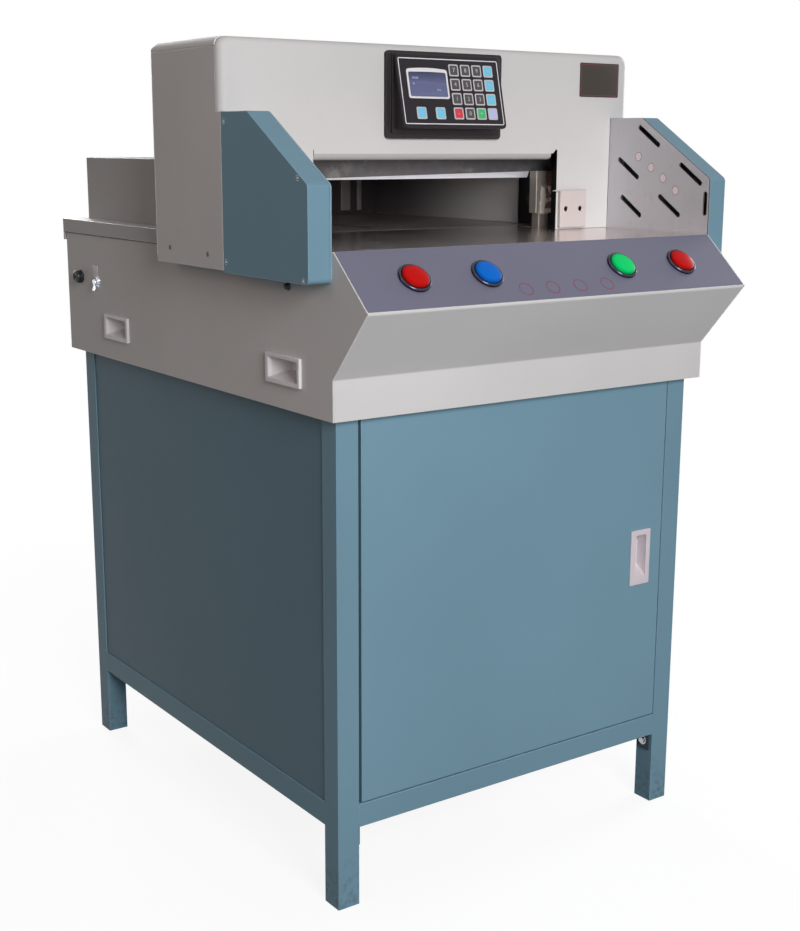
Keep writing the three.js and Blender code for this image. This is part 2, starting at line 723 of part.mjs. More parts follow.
function frontSkirt() {
  const up = new THREE.Vector2(PANEL_RUN, PANEL_CLIMB).normalize();
  const path = [
    [NOSE_Y + up.x * FOLD_LENGTH, NOSE_Z + up.y * FOLD_LENGTH],
    [NOSE_Y, NOSE_Z],
    [BODY_FRONT, STRIP_TOP],
    [BODY_FRONT, STAND_HEIGHT],
  ];
  return prism("x", bentSheet(path, SHEET, NOSE_RADIUS), -BODY_INSIDE + SEAT, BODY_INSIDE - SEAT);
}

function bodyPan() {
  const wide = [-BODY_INSIDE + SEAT, BODY_INSIDE - SEAT];
  const wall = [BODY_BACK - PAN_SHEET, BODY_BACK];
  const bottom = block(wide, [BODY_FRONT + SHEET + SEAT, BODY_BACK], [STAND_HEIGHT, PAN_TOP]);
  const back = block(wide, wall, [STAND_HEIGHT, LID_UNDER - SEAT]);
  const bearing = rod(
    "y",
    SCREW_BEARING_RADIUS,
    [0, SCREW_Z],
    BODY_BACK - PAN_SHEET - SCREW_BEARING_LENGTH,
    BODY_BACK - PAN_SHEET + WELD,
  );
  const seat = rod(
    "y",
    SCREW_RADIUS + SEAT,
    [0, SCREW_Z],
    BODY_BACK - PAN_SHEET - SCREW_BEARING_LENGTH - OVERRUN,
    BODY_BACK - PAN_SHEET,
  );
  return cut(join(bottom, back, bearing), seat);
}

function workTable() {
  const side = BODY_INSIDE - SEAT;
  const plate = block([-side, side], [TABLE_FRONT, BOX_BACK], [TABLE_BOTTOM, TABLE_HEIGHT]);
  const depth = [TABLE_BOTTOM - OVERRUN, TABLE_HEIGHT + OVERRUN];
  const frameNotches = SIDES.map(({ sign }) =>
    block(
      [sign * (FRAME_INSIDE - SEAT), sign * (side + OVERRUN)],
      [UPRIGHT_FRONT - SEAT, FRAME_BACK + SEAT],
      depth,
    ),
  );
  const stickGroove = block(
    [-STICK_SIDE - SEAT, STICK_SIDE + SEAT],
    [stickMiddle - STICK_WIDTH / 2 - SEAT, stickMiddle + STICK_WIDTH / 2 + SEAT],
    [TABLE_HEIGHT - STICK_DEPTH - SEAT, TABLE_HEIGHT + OVERRUN],
  );
  const rodSlot = block(
    [ROD_X - ROD_BLOCK_WIDTH / 2 - KNIFE_DRIFT - ROD_GAP, ROD_X + ROD_BLOCK_WIDTH / 2 + ROD_GAP],
    [ROD_FRONT - ROD_GAP, ROD_BACK + ROD_GAP],
    depth,
  );
  const gaugeSlot = block(
    [-GAUGE_LUG_WIDTH / 2 - 2 * RUNNING_GAP, GAUGE_LUG_WIDTH / 2 + 2 * RUNNING_GAP],
    [LUG_FRONT - GAUGE_TRAVEL - ROD_GAP, LUG_BACK + ROD_GAP],
    depth,
  );
  return cut(plate, ...frameNotches, stickGroove, rodSlot, gaugeSlot);
}

function rearLid() {
  const wide = BODY_SIDE + LID_SIDE_OVERHANG;
  const front = HEAD_BACK + SEAT;
  const back = BODY_BACK + LID_OVERHANG;
  const top = block([-wide, wide], [front, back], [LID_UNDER, LID_TOP]);
  const opening = block(
    [-BOX_SIDE - SEAT, BOX_SIDE + SEAT],
    [front - OVERRUN, BOX_BACK + SEAT],
    [LID_UNDER - OVERRUN, LID_TOP + OVERRUN],
  );
  const sideLips = SIDES.map(({ sign }) =>
    block([sign * (wide - SHEET), sign * wide], [front, back], [LID_TOP - LID_SIDE_LIP, LID_TOP]),
  );
  const backLip = block([-wide, wide], [back - SHEET, back], [LID_TOP - LID_BACK_LIP, LID_TOP]);
  return cut(join(top, ...sideLips, backLip), opening);
}

function rearBox() {
  const outer = block([-BOX_SIDE, BOX_SIDE], [BOX_FRONT, BOX_BACK], [TABLE_HEIGHT + SEAT, BOX_TOP]);
  const inside = block(
    [-BOX_SIDE + REAR_BOX_SHEET, BOX_SIDE - REAR_BOX_SHEET],
    [BOX_FRONT - OVERRUN, BOX_BACK - REAR_BOX_SHEET],
    [TABLE_HEIGHT - OVERRUN, BOX_TOP - REAR_BOX_SHEET],
  );
  return cut(outer, inside);
}

const stickMiddle = (BLADE_FRONT + BLADE_BACK) / 2;
const cuttingStick = block(
  [-STICK_SIDE, STICK_SIDE],
  [stickMiddle - STICK_WIDTH / 2, stickMiddle + STICK_WIDTH / 2],
  [TABLE_HEIGHT - STICK_DEPTH, TABLE_HEIGHT],
);

const body = assembly(
  ...SIDES.map(({ label, sign }) => piece(`body_side_${label}`, bodySide(sign), greyPaint)),
  piece("front_skirt", frontSkirt(), greyPaint),
  piece("body_pan", bodyPan(), greyPaint),
  piece("work_table", workTable(), polishedSteel),
  piece("cutting_stick", cuttingStick, stickPlastic),
  piece("rear_lid", rearLid(), greyPaint),
  piece("rear_box", rearBox(), greyPaint),
  ...SIDES.flatMap(({ label, sign }) =>
    CUP_PLACES.map((place) =>
      piece(
        `carry_cup_${label}_${place.label}`,
        facingSide(cupGeometry(), sign, place.y, CUP_Z),
        whitePlastic,
      ),
    ),
  ),
);

// Cable gland, toggle switch and grommet on the left side
function cableGland() {
  const at = [GLAND_Y, GLAND_Z];
  const face = -BODY_SIDE - SEAT;
  const shoulder = face - GLAND_REACH + GLAND_DOME;
  const cap = rod("x", GLAND_RADIUS, at, face, shoulder, SMALL_SIDES);
  const dome = rod("x", GLAND_RADIUS, at, shoulder, face - GLAND_REACH, SMALL_SIDES, GLAND_THREAD_RADIUS);
  const thread = rod("x", GLAND_THREAD_RADIUS, at, face - GLAND_DOME, face + GLAND_TAIL, SMALL_SIDES);
  const bore = rod(
    "x",
    GLAND_BORE_RADIUS,
    at,
    face - GLAND_REACH - OVERRUN,
    face + GLAND_TAIL + OVERRUN,
    SMALL_SIDES,
  );
  return cut(join(cap, dome, thread), bore);
}

function toggleSwitch() {
  const at = [SWITCH_Y, SWITCH_Z];
  const half = SWITCH_BODY_WIDTH / 2;
  const inside = -BODY_INSIDE + SEAT;
  const outside = -BODY_SIDE - SEAT;
  const housing = block(
    [inside, inside + SWITCH_BODY_DEPTH],
    [SWITCH_Y - half, SWITCH_Y + half],
    [SWITCH_Z - half, SWITCH_Z + half],
  );
  const bush = rod(
    "x",
    SWITCH_BUSH_RADIUS,
    at,
    inside + SWITCH_NUT_THICKNESS,
    outside - SWITCH_BUSH_REACH,
    SMALL_SIDES,
  );
  const nut = rod("x", SWITCH_NUT_RADIUS, at, outside, outside - SWITCH_NUT_THICKNESS, HEX_SIDES);
  const socket = new THREE.SphereGeometry(LEVER_BALL_RADIUS + RUNNING_GAP, SMALL_SIDES, SMALL_SIDES / 2);
  socket.translate(LEVER_X, SWITCH_Y, SWITCH_Z);
  return cut(join(housing, bush, nut), socket);
}

function toggleLever() {
  const ball = new THREE.SphereGeometry(LEVER_BALL_RADIUS, SMALL_SIDES, SMALL_SIDES / 2);
  const arm = rod("z", LEVER_ROOT_RADIUS, [0, 0], 0, LEVER_LENGTH, SMALL_SIDES, LEVER_TIP_RADIUS);
  return join(ball, arm);
}

const LEVER_X = -BODY_SIDE - SEAT - SWITCH_BUSH_REACH - LEVER_BALL_RADIUS / 2;
const LEVER_REST = 172;
const lever = piece("toggle_lever", toggleLever(), chrome);
lever.rotation.y = THREE.MathUtils.degToRad(-LEVER_REST);
lever.position.set(LEVER_X, SWITCH_Y, SWITCH_Z);

const grommet = rod(
  "x",
  GROMMET_RADIUS,
  [GROMMET_Y, GROMMET_Z],
  -BODY_SIDE - SEAT,
  -BODY_SIDE - SEAT - GROMMET_REACH,
  SMALL_SIDES,
);
const fittings = assembly(
  piece("cable_gland", cableGland(), blackPlastic),
  piece("toggle_switch", toggleSwitch(), chrome),
  lever,
  piece("guard_cable_grommet", grommet, blackPlastic),
);

// Sloped button panel with its four push buttons, drawn flat and turned up to its slope
const PANEL_FOLD_GAP = FOLD_LENGTH + SEAT;
const BUTTONS = [
  { label: "clamp", x: OUTER_BUTTON_INSET - BODY_SIDE, material: redPlastic },
  { label: "gauge", x: INNER_BUTTON_INSET - BODY_SIDE, material: bluePlastic },
  { label: "start", x: BODY_SIDE - INNER_BUTTON_INSET, material: greenPlastic },
  { label: "cut", x: BODY_SIDE - OUTER_BUTTON_INSET, material: redPlastic },
];

function panelPlate() {
  const plate = block(
    [-BODY_INSIDE + SEAT, BODY_INSIDE - SEAT],
    [PANEL_FOLD_GAP, PANEL_LENGTH],
    [-SHEET, 0],
  );
  const holes = BUTTONS.map(({ x }) =>
    rod("z", BEZEL_NECK_RADIUS + SEAT, [x, PANEL_LENGTH / 2], -OVERRUN, OVERRUN),
  );
  return cut(plate, ...holes);
}

function lathe(profile) {
  const points = profile.map(([r, z]) => new THREE.Vector2(r, z));
  return new THREE.LatheGeometry(points, ROUND_SIDES).rotateX(Math.PI / 2);
}

function bezelGeometry() {
  const inner = BUTTON_RADIUS + RUNNING_GAP;
  return lathe([
    [inner, -BEZEL_NECK_LENGTH],
    [BEZEL_NECK_RADIUS, -BEZEL_NECK_LENGTH],
    [BEZEL_NECK_RADIUS, SEAT],
    [BEZEL_RADIUS, SEAT],
    [BEZEL_RADIUS, BEZEL_HEIGHT - BEZEL_ROUNDING],
    [BEZEL_RADIUS - BEZEL_ROUNDING, BEZEL_HEIGHT],
    [inner + BEZEL_ROUNDING / 2, BEZEL_HEIGHT],
    [inner, BEZEL_HEIGHT - BEZEL_ROUNDING / 2],
    [inner, -BEZEL_NECK_LENGTH],
  ]);
}

function buttonGeometry() {
  const rise = BUTTON_CROWN - BUTTON_SHOULDER;
  const crown = Array.from({ length: BEND_STEPS + 1 }, (_, step) => {
    const angle = (Math.PI / 2) * (step / BEND_STEPS);
    return [BUTTON_RADIUS * Math.cos(angle), BUTTON_SHOULDER + rise * Math.sin(angle)];
  });
  crown[BEND_STEPS][0] = 0;
  return lathe([[0, -BUTTON_STEM], [BUTTON_RADIUS, -BUTTON_STEM], ...crown]);
}

const buttonPanel = assembly(
  piece("button_panel", panelPlate(), panelPaint),
  ...BUTTONS.flatMap(({ label, x, material }) => {
    const bezel = piece(`bezel_${label}`, bezelGeometry(), chrome);
    const button = piece(`button_${label}`, buttonGeometry(), material);
    bezel.position.set(x, PANEL_LENGTH / 2, 0);
    button.position.set(x, PANEL_LENGTH / 2, 0);
    return [bezel, button];
  }),
);
buttonPanel.position.set(0, NOSE_Y, NOSE_Z);
buttonPanel.rotation.x = PANEL_SLOPE;

// Head: front cover with its lip and cheeks, side covers, and top with its back
function headOutline(inset) {
  const side = HEAD_SIDE - inset;
  const corners = rectangle([-side, side], [HEAD_BOTTOM, HEAD_TOP - inset]);
  return roundedOutline(corners, HEAD_EDGE_RADIUS - inset / 2);
}

function headFrontPan() {
  const core = roundedOutline(
    rectangle(
      [HEAD_EDGE_RADIUS - HEAD_SIDE, HEAD_SIDE - HEAD_EDGE_RADIUS],
      [HEAD_BOTTOM, HEAD_TOP - HEAD_EDGE_RADIUS],
    ),
    HEAD_EDGE_RADIUS / 2,
  );
  const pan = (rounding, inset) => {
    const shape = new THREE.Shape(core.map(([u, v]) => new THREE.Vector2(u, v)));
    const geometry = new THREE.ExtrudeGeometry(shape, {
      depth: HEAD_DEPTH,
      bevelSize: rounding,
      bevelThickness: rounding,
      bevelSegments: BEND_STEPS,
    });
    geometry.translate(0, 0, -(HEAD_FRONT + inset + rounding + HEAD_DEPTH));
    return geometry.applyMatrix4(TURNS.y);
  };
  const shell = cut(pan(HEAD_EDGE_RADIUS, 0), pan(HEAD_EDGE_RADIUS - SHEET, SHEET));
  const front = block(
    [-HEAD_WIDTH, HEAD_WIDTH],
    [HEAD_FRONT - OVERRUN, HEAD_FRONT + HEAD_RETURN],
    [LIP_Z + LIP_RADIUS, HEAD_TOP + OVERRUN],
  );
  const guardCorners = SIDES.map(({ sign }) =>
    block(
      [sign * (BODY_SIDE - SEAT), sign * HEAD_WIDTH],
      [HEAD_FRONT - OVERRUN, HEAD_BACK],
      [LIP_Z - OVERRUN, GUARD_TOP + SEAT],
    ),
  );
  return cut(common(shell, front), ...guardCorners);
}

function headCheek(sign) {
  const outline = [
    [sign * THROAT_SIDE, TABLE_HEIGHT + SEAT],
    [sign * (BODY_SIDE - SEAT), TABLE_HEIGHT + SEAT],
    [sign * (BODY_SIDE - SEAT), LIP_Z + 2 * NOTCH_RISE],
    [sign * (THROAT_SIDE - NOTCH_WIDTH), LIP_Z + 2 * NOTCH_RISE],
    [sign * (THROAT_SIDE - NOTCH_WIDTH / 4), LIP_Z + NOTCH_RISE],
    [sign * THROAT_SIDE, LIP_Z + NOTCH_RISE - SHEET],
  ];
  return prism("y", sign > 0 ? outline : outline.reverse(), HEAD_FRONT, HEAD_FRONT + SHEET);
}

function headFront() {
  const lipPath = [
    [HEAD_FRONT, LIP_Z + LIP_RADIUS + NOTCH_RISE],
    [HEAD_FRONT, LIP_Z],
    [HEAD_FRONT + LIP_RADIUS + LIP_RETURN, LIP_Z],
  ];
  const lipSide = THROAT_SIDE - NOTCH_WIDTH;
  const lip = prism("x", bentSheet(lipPath, SHEET, LIP_RADIUS), -lipSide, lipSide);
  const notches = SIDES.map(({ sign }) => {
    const outline = [
      [sign * THROAT_SIDE, LIP_Z - OVERRUN],
      [sign * THROAT_SIDE, LIP_Z + NOTCH_RISE - SHEET],
      [sign * (THROAT_SIDE - NOTCH_WIDTH / 4), LIP_Z + NOTCH_RISE],
      [sign * (THROAT_SIDE - NOTCH_WIDTH), LIP_Z + NOTCH_RISE / 4],
      [sign * (THROAT_SIDE - NOTCH_WIDTH), LIP_Z - OVERRUN],
    ];
    return prism("y", sign < 0 ? outline : outline.reverse(), HEAD_FRONT - OVERRUN, HEAD_FRONT + OVERRUN);
  });
  const cheeks = SIDES.map(({ sign }) => headCheek(sign));
  return cut(join(headFrontPan(), lip, ...cheeks), ...notches);
}

function headSide(sign) {
  const returnY = HEAD_FRONT + HEAD_RETURN + SEAT;
  const outline = [
    [HEAD_FRONT, HEAD_BOTTOM],
    [HEAD_BACK - SHEET - SEAT, HEAD_BOTTOM],
    [HEAD_BACK - SHEET - SEAT, HEAD_EAVE - SEAT],
    [returnY, HEAD_EAVE - SEAT],
    [returnY, GUARD_TOP + SEAT],
    [HEAD_FRONT, GUARD_TOP + SEAT],
  ];
  const sheet = prism("x", outline, sign * (HEAD_SIDE - SHEET), sign * HEAD_SIDE);
  const underside = block(
    [sign * (BODY_SIDE + SEAT), sign * HEAD_SIDE],
    [HEAD_FRONT, HEAD_BACK - SHEET - SEAT],
    [HEAD_BOTTOM, HEAD_BOTTOM + SHEET],
  );
  return join(sheet, underside);
}

function headTop() {
  const front = HEAD_FRONT + HEAD_RETURN + SEAT;
  const profile = (inset) => [
    [front - (inset ? OVERRUN : 0), HEAD_BOTTOM - (inset ? OVERRUN : 0)],
    [HEAD_BACK - inset, HEAD_BOTTOM - (inset ? OVERRUN : 0)],
    [HEAD_BACK - inset, HEAD_TOP - HEAD_BACK_CHAMFER_RISE - inset / 2],
    [HEAD_BACK - HEAD_BACK_CHAMFER - inset / 2, HEAD_TOP - inset],
    [front - (inset ? OVERRUN : 0), HEAD_TOP - inset],
  ];
  const hull = (inset) =>
    common(
      prism("y", headOutline(inset), front - OVERRUN, HEAD_BACK + OVERRUN),
      prism("x", profile(inset), -HEAD_WIDTH, HEAD_WIDTH),
    );
  const shell = cut(hull(0), hull(SHEET));
  const sideWindow = block(
    [-HEAD_WIDTH, HEAD_WIDTH],
    [front - OVERRUN, HEAD_BACK - SHEET],
    [HEAD_BOTTOM - OVERRUN, HEAD_EAVE],
  );
  const boxWindow = block(
    [-BOX_SIDE - SEAT, BOX_SIDE + SEAT],
    [HEAD_FRONT, HEAD_BACK + OVERRUN],
    [HEAD_BOTTOM - OVERRUN, BOX_TOP + SEAT],
  );
  const bodyWindow = block(
    [-BODY_SIDE - SEAT, BODY_SIDE + SEAT],
    [HEAD_FRONT, HEAD_BACK + OVERRUN],
    [HEAD_BOTTOM - OVERRUN, LID_UNDER],
  );
  return cut(shell, sideWindow, boxWindow, bodyWindow);
}

const head = assembly(
  piece("head_front", headFront(), greyPaint),
  ...SIDES.map(({ label, sign }) => piece(`head_side_${label}`, headSide(sign), greyPaint)),
  piece("head_top", headTop(), greyPaint),
);

// Side guards: an outer shell with a bent band, and a slotted steel plate on the body side
const GUARD_CORNERS = [
  [HEAD_FRONT, GUARD_TOP],
  [BODY_FRONT + GUARD_SLOPE_RUN, GUARD_TOP],
  [BODY_FRONT, TABLE_HEIGHT + GUARD_SLOPE_RISE],
  [BODY_FRONT, GUARD_BOTTOM],
  [HEAD_FRONT, GUARD_BOTTOM],
];

function guardOutline(back) {
  const rounded = bentSheet(GUARD_CORNERS, SHEET);
  const face = rounded.slice(0, rounded.length / 2);
  return face.map(([y, z]) => [Math.min(y, back), z]);
}

function guardShell(sign) {
  const outer = sign * HEAD_SIDE;
  const inner = sign * (BODY_SIDE + GUARD_PLATE + SEAT);
  const back = HEAD_FRONT - SEAT;
  const sheet = prism("x", guardOutline(back), outer - sign * SHEET, outer);
  const band = prism("x", bentSheet(GUARD_CORNERS, SHEET), inner, outer);
  const trim = block([-HEAD_WIDTH, HEAD_WIDTH], [back, HEAD_FRONT + OVERRUN], [0, HEAD_TOP]);
  return cut(join(sheet, band), trim);
}

// Slot places as shares of the guard plate's depth from the front and of its rise over the table
const SLOT_SHARES = [
  { depthShare: 0.595, riseShare: 0.838, turned: true },
  { depthShare: 0.793, riseShare: 0.55, turned: true },
  { depthShare: 0.178, riseShare: 0.513, turned: true },
  { depthShare: 0.753, riseShare: 0.209, turned: true },
  { depthShare: 0.372, riseShare: 0.23, turned: true },
  { depthShare: 0.031, riseShare: 0.263, turned: false },
];
const SLOT_TURN = 33;

function slotCutter({ depthShare, riseShare, turned }) {
  const length = (turned ? SLOT_LENGTH : END_SLOT_LENGTH) - SLOT_WIDTH;
  const half = SLOT_WIDTH / 2;
  const corners = rectangle([-length / 2 - half, length / 2 + half], [-half, half]);
  const cutter = prism("z", roundedOutline(corners, half - SEAT), -OVERRUN, OVERRUN);
  cutter.rotateZ(turned ? THREE.MathUtils.degToRad(SLOT_TURN) : Math.PI / 2);
  cutter.applyMatrix4(TURNS.x);
  return cutter.translate(
    0,
    BODY_FRONT + depthShare * HEAD_SETBACK,
    TABLE_HEIGHT + riseShare * GUARD_RISE,
  );
}

function guardPlate(sign) {
  const outline = guardOutline(HEAD_FRONT - SEAT);
  const plate = prism("x", outline, sign * BODY_SIDE, sign * (BODY_SIDE + GUARD_PLATE));
  const slots = SLOT_SHARES.map((share) => slotCutter(share).translate(sign * BODY_SIDE, 0, 0));
  return cut(plate, ...slots);
}

const guards = assembly(
  ...SIDES.flatMap(({ label, sign }) => [
    piece(`guard_${label}`, guardShell(sign), bluePaint),
    piece(`guard_plate_${label}`, guardPlate(sign), brushedSteel),
  ]),
);

// Control console: stepped base with a wedge, and the key panel with its screen on the wedge
const CONSOLE_TOP = HEAD_TOP - CONSOLE_TOP_MARGIN;
const CONSOLE_BOTTOM = CONSOLE_TOP - CONSOLE_HEIGHT;
const CONSOLE_BACK = HEAD_FRONT - SEAT;
const CONSOLE_FACE = CONSOLE_BACK - CONSOLE_BASE_THICKNESS;
const STEP_FACE = CONSOLE_FACE - CONSOLE_STEP_THICKNESS;
const KEY_PANEL_TOP = CONSOLE_TOP - KEY_PANEL_TOP_DROP;
const TILT = THREE.MathUtils.degToRad(CONSOLE_TILT);

function consoleBase() {
  const left = CONSOLE_X - CONSOLE_WIDTH / 2;
  const right = CONSOLE_X + CONSOLE_WIDTH / 2;
  const plate = prism(
    "y",
    roundedOutline(rectangle([left, right], [CONSOLE_BOTTOM, CONSOLE_TOP]), CONSOLE_CORNER),
    CONSOLE_FACE,
    CONSOLE_BACK,
  );
  const step = prism(
    "y",
    roundedOutline(
      rectangle(
        [left + CONSOLE_STEP, right - CONSOLE_STEP],
        [CONSOLE_BOTTOM + CONSOLE_STEP, CONSOLE_TOP - CONSOLE_STEP / 2],
      ),
      CONSOLE_CORNER / 2,
    ),
    STEP_FACE,
    CONSOLE_FACE + WELD,
  );
  const reach = KEY_PANEL_HEIGHT - 2 * HOUSING_MARGIN;
  const top = [STEP_FACE - HOUSING_MARGIN * Math.sin(TILT), KEY_PANEL_TOP - HOUSING_MARGIN];
  const low = [top[0] - reach * Math.sin(TILT), top[1] - reach * Math.cos(TILT)];
  const wedge = prism(
    "x",
    [top, low, [STEP_FACE + WELD, low[1] - HOUSING_MARGIN], [STEP_FACE + WELD, top[1]]],
    KEY_PANEL_X + HOUSING_MARGIN - KEY_PANEL_WIDTH / 2,
    KEY_PANEL_X - HOUSING_MARGIN + KEY_PANEL_WIDTH / 2,
  );
  return join(plate, step, wedge);
}

function keyPanel() {
  const half = KEY_PANEL_WIDTH / 2;
  const outline = roundedOutline(rectangle([-half, half], [-KEY_PANEL_HEIGHT, 0]), KEY_PANEL_CORNER);
  return prism("z", outline, SEAT, KEY_PANEL_THICKNESS);
}

function keyPanelScreen() {
  const left = SCREEN_LEFT_MARGIN - KEY_PANEL_WIDTH / 2;
  const corners = rectangle(
    [left, left + SCREEN_WIDTH],
    [-SCREEN_TOP_MARGIN - SCREEN_HEIGHT, -SCREEN_TOP_MARGIN],
  );
  const outline = roundedOutline(corners, SCREEN_CORNER);
  const front = KEY_PANEL_THICKNESS + SEAT;
  return prism("z", outline, front, front + SCREEN_THICKNESS);
}

const keyFace = assembly(
  piece("key_panel", keyPanel(), blackPlastic),
  piece("console_screen", keyPanelScreen(), screenGlass),
);
keyFace.position.set(KEY_PANEL_X, STEP_FACE, KEY_PANEL_TOP);
keyFace.rotation.x = Math.PI / 2 - TILT;
const consoleUnit = assembly(piece("console_base", consoleBase(), blackPlastic), keyFace);

// Cutting mechanism: frame, knife, clamp, drive, back gauge and side lay
function machineFrame() {
  const outer = FRAME_SIDE;
  const uprights = SIDES.map(({ sign }) =>
    block([sign * FRAME_INSIDE, sign * outer], [UPRIGHT_FRONT, FRAME_BACK], [PAN_TOP, FRAME_TOP]),
  );
  const beam = block([-outer, outer], [FRAME_FRONT, FRAME_BACK], [BEAM_BOTTOM, FRAME_TOP]);
  const bores = SIDES.map(({ sign }) =>
    rod(
      "z",
      CLAMP_ROD_RADIUS + SEAT,
      [sign * CLAMP_ROD_X, CLAMP_FRONT + CLAMP_THICKNESS / 2],
      BEAM_BOTTOM - OVERRUN,
      FRAME_TOP + OVERRUN,
      SMALL_SIDES,
    ),
  );
  return cut(join(...uprights, beam), ...bores);
}

function knifeCarrier() {
  const left = CARRIER_LEFT_GAP - FRAME_INSIDE;
  const right = FRAME_INSIDE - CARRIER_RIGHT_GAP;
  const bladeTop = EDGE_Z + BLADE_HEIGHT;
  const bar = prism(
    "y",
    [
      [left, EDGE_Z + CARRIER_LEFT_COVER],
      [right, EDGE_Z + CARRIER_RIGHT_COVER],
      [right, bladeTop + SEAT],
      [left, bladeTop + SEAT],
    ],
    CARRIER_FRONT,
    BLADE_FRONT - SEAT,
  );
  const top = block(
    [left, right],
    [CARRIER_FRONT, BLADE_BACK],
    [bladeTop + SEAT, bladeTop + SEAT + CARRIER_HEAD_HEIGHT],
  );
  return join(bar, top);
}

function knifeBlade() {
  const outline = [
    [BLADE_BACK, EDGE_Z],
    [BLADE_BACK, EDGE_Z + BLADE_HEIGHT],
    [BLADE_FRONT, EDGE_Z + BLADE_HEIGHT],
    [BLADE_FRONT, EDGE_Z + BLADE_BEVEL],
  ];
  return prism("x", outline, BLADE_LEFT_GAP - FRAME_INSIDE, FRAME_INSIDE - BLADE_RIGHT_GAP);
}

function pullRod() {
  const thick = [ROD_FRONT, ROD_BACK];
  const blockHalf = ROD_BLOCK_WIDTH / 2;
  const neckHalf = ROD_NECK_WIDTH / 2;
  const blockZ = [TABLE_HEIGHT + ROD_BLOCK_BOTTOM, TABLE_HEIGHT + ROD_BLOCK_TOP];
  const pinTop = CRANK_Z + CRANK_RADIUS;
  const head = block([ROD_X - blockHalf, ROD_X + blockHalf], thick, blockZ);
  const neck = block([ROD_X - neckHalf, ROD_X + neckHalf], thick, [pinTop, blockZ[1]]);
  const yokeX = ROD_X - YOKE_SHIFT;
  const yoke = block(
    [yokeX - YOKE_WIDTH / 2, yokeX + YOKE_WIDTH / 2],
    thick,
    [pinTop - YOKE_HEIGHT / 2, pinTop + YOKE_HEIGHT / 2],
  );
  const slotHalf = CRANK_PIN_RADIUS + YOKE_PLAY;
  const slot = block(
    [yokeX - YOKE_WIDTH / 2 + YOKE_PLAY, yokeX + YOKE_WIDTH / 2 - YOKE_PLAY],
    [ROD_FRONT - OVERRUN, ROD_BACK + OVERRUN],
    [pinTop - slotHalf, pinTop + slotHalf],
  );
  return cut(join(head, neck, yoke), slot);
}

function crankWheel() {
  const at = [CRANK_X, CRANK_Z];
  const disc = rod("y", CRANK_DISC_RADIUS, at, DISC_FRONT, DISC_BACK);
  const pin = rod(
    "y",
    CRANK_PIN_RADIUS,
    [CRANK_X, CRANK_Z + CRANK_RADIUS],
    DISC_FRONT - CRANK_PIN_LENGTH,
    DISC_FRONT + WELD,
    SMALL_SIDES,
  );
  const shaft = rod("y", CRANK_SHAFT_RADIUS, at, DISC_BACK - WELD, DISC_BACK + CRANK_SHAFT_LENGTH);
  return join(disc, pin, shaft);
}

function driveMotor() {
  const right = CRANK_X + GEARBOX_WIDTH / 2 - GEARBOX_OFFSET;
  const left = right - GEARBOX_WIDTH;
  const front = DISC_BACK + GEARBOX_OFFSET;
  const gearbox = block([left, right], [front, front + GEARBOX_DEPTH], [PAN_TOP, PAN_TOP + GEARBOX_HEIGHT]);
  const motor = rod(
    "x",
    MOTOR_RADIUS,
    [front + GEARBOX_DEPTH / 2, PAN_TOP + GEARBOX_HEIGHT / 2],
    left - MOTOR_LENGTH,
    left + WELD,
  );
  const seat = rod(
    "y",
    CRANK_SHAFT_RADIUS + RUNNING_GAP,
    [CRANK_X, CRANK_Z],
    front - OVERRUN,
    DISC_BACK + CRANK_SHAFT_LENGTH + SEAT,
  );
  return cut(join(gearbox, motor), seat);
}

function clampBeam() {
  const beam = block(
    [-CLAMP_SIDE, CLAMP_SIDE],
    [CLAMP_FRONT, CLAMP_FRONT + CLAMP_THICKNESS],
    [CLAMP_BOTTOM, CLAMP_TOP],
  );
  const rods = SIDES.map(({ sign }) =>
    rod(
      "z",
      CLAMP_ROD_RADIUS,
      [sign * CLAMP_ROD_X, CLAMP_FRONT + CLAMP_THICKNESS / 2],
      CLAMP_TOP - WELD,
      CLAMP_TOP + CLAMP_ROD_LENGTH,
      SMALL_SIDES,
    ),
  );
  return join(beam, ...rods);
}

function backGauge() {
  const bottom = TABLE_HEIGHT + SEAT;
  const face = block(
    [-GAUGE_SIDE, GAUGE_SIDE],
    [GAUGE_FRONT, GAUGE_BACK],
    [bottom, bottom + GAUGE_HEIGHT],
  );
  const base = block(
    [-GAUGE_BASE_LENGTH / 2, GAUGE_BASE_LENGTH / 2],
    [GAUGE_FRONT, GAUGE_BACK + GAUGE_BASE_DEPTH],
    [bottom, bottom + GAUGE_BASE_HEIGHT],
  );
  const lugY = [LUG_FRONT, LUG_BACK];
  const lug = block(
    [-GAUGE_LUG_WIDTH / 2, GAUGE_LUG_WIDTH / 2],
    lugY,
    [SCREW_Z, bottom + GAUGE_BASE_HEIGHT / 2],
  );
  const half = GAUGE_NUT / 2;
  const nut = block([-half, half], lugY, [SCREW_Z - half, SCREW_Z + half]);
  const bore = rod("y", SCREW_RADIUS + SEAT, [0, SCREW_Z], LUG_FRONT - OVERRUN, LUG_BACK + OVERRUN);
  return cut(join(face, base, lug, nut), bore);
}

const SCREW_FRONT = FRAME_FRONT - SCREW_START;
const leadScrew = rod("y", SCREW_RADIUS, [0, SCREW_Z], SCREW_FRONT, BODY_BACK - PAN_SHEET - SEAT);

function gaugeMotor() {
  const half = STEPPER_SIZE / 2;
  const back = SCREW_FRONT - SEAT;
  const housing = block([-half, half], [back - STEPPER_LENGTH, back], [SCREW_Z - half, SCREW_Z + half]);
  const bracket = block([-half, half], [back - STEPPER_BRACKET, back], [SCREW_Z, TABLE_BOTTOM]);
  return join(housing, bracket);
}

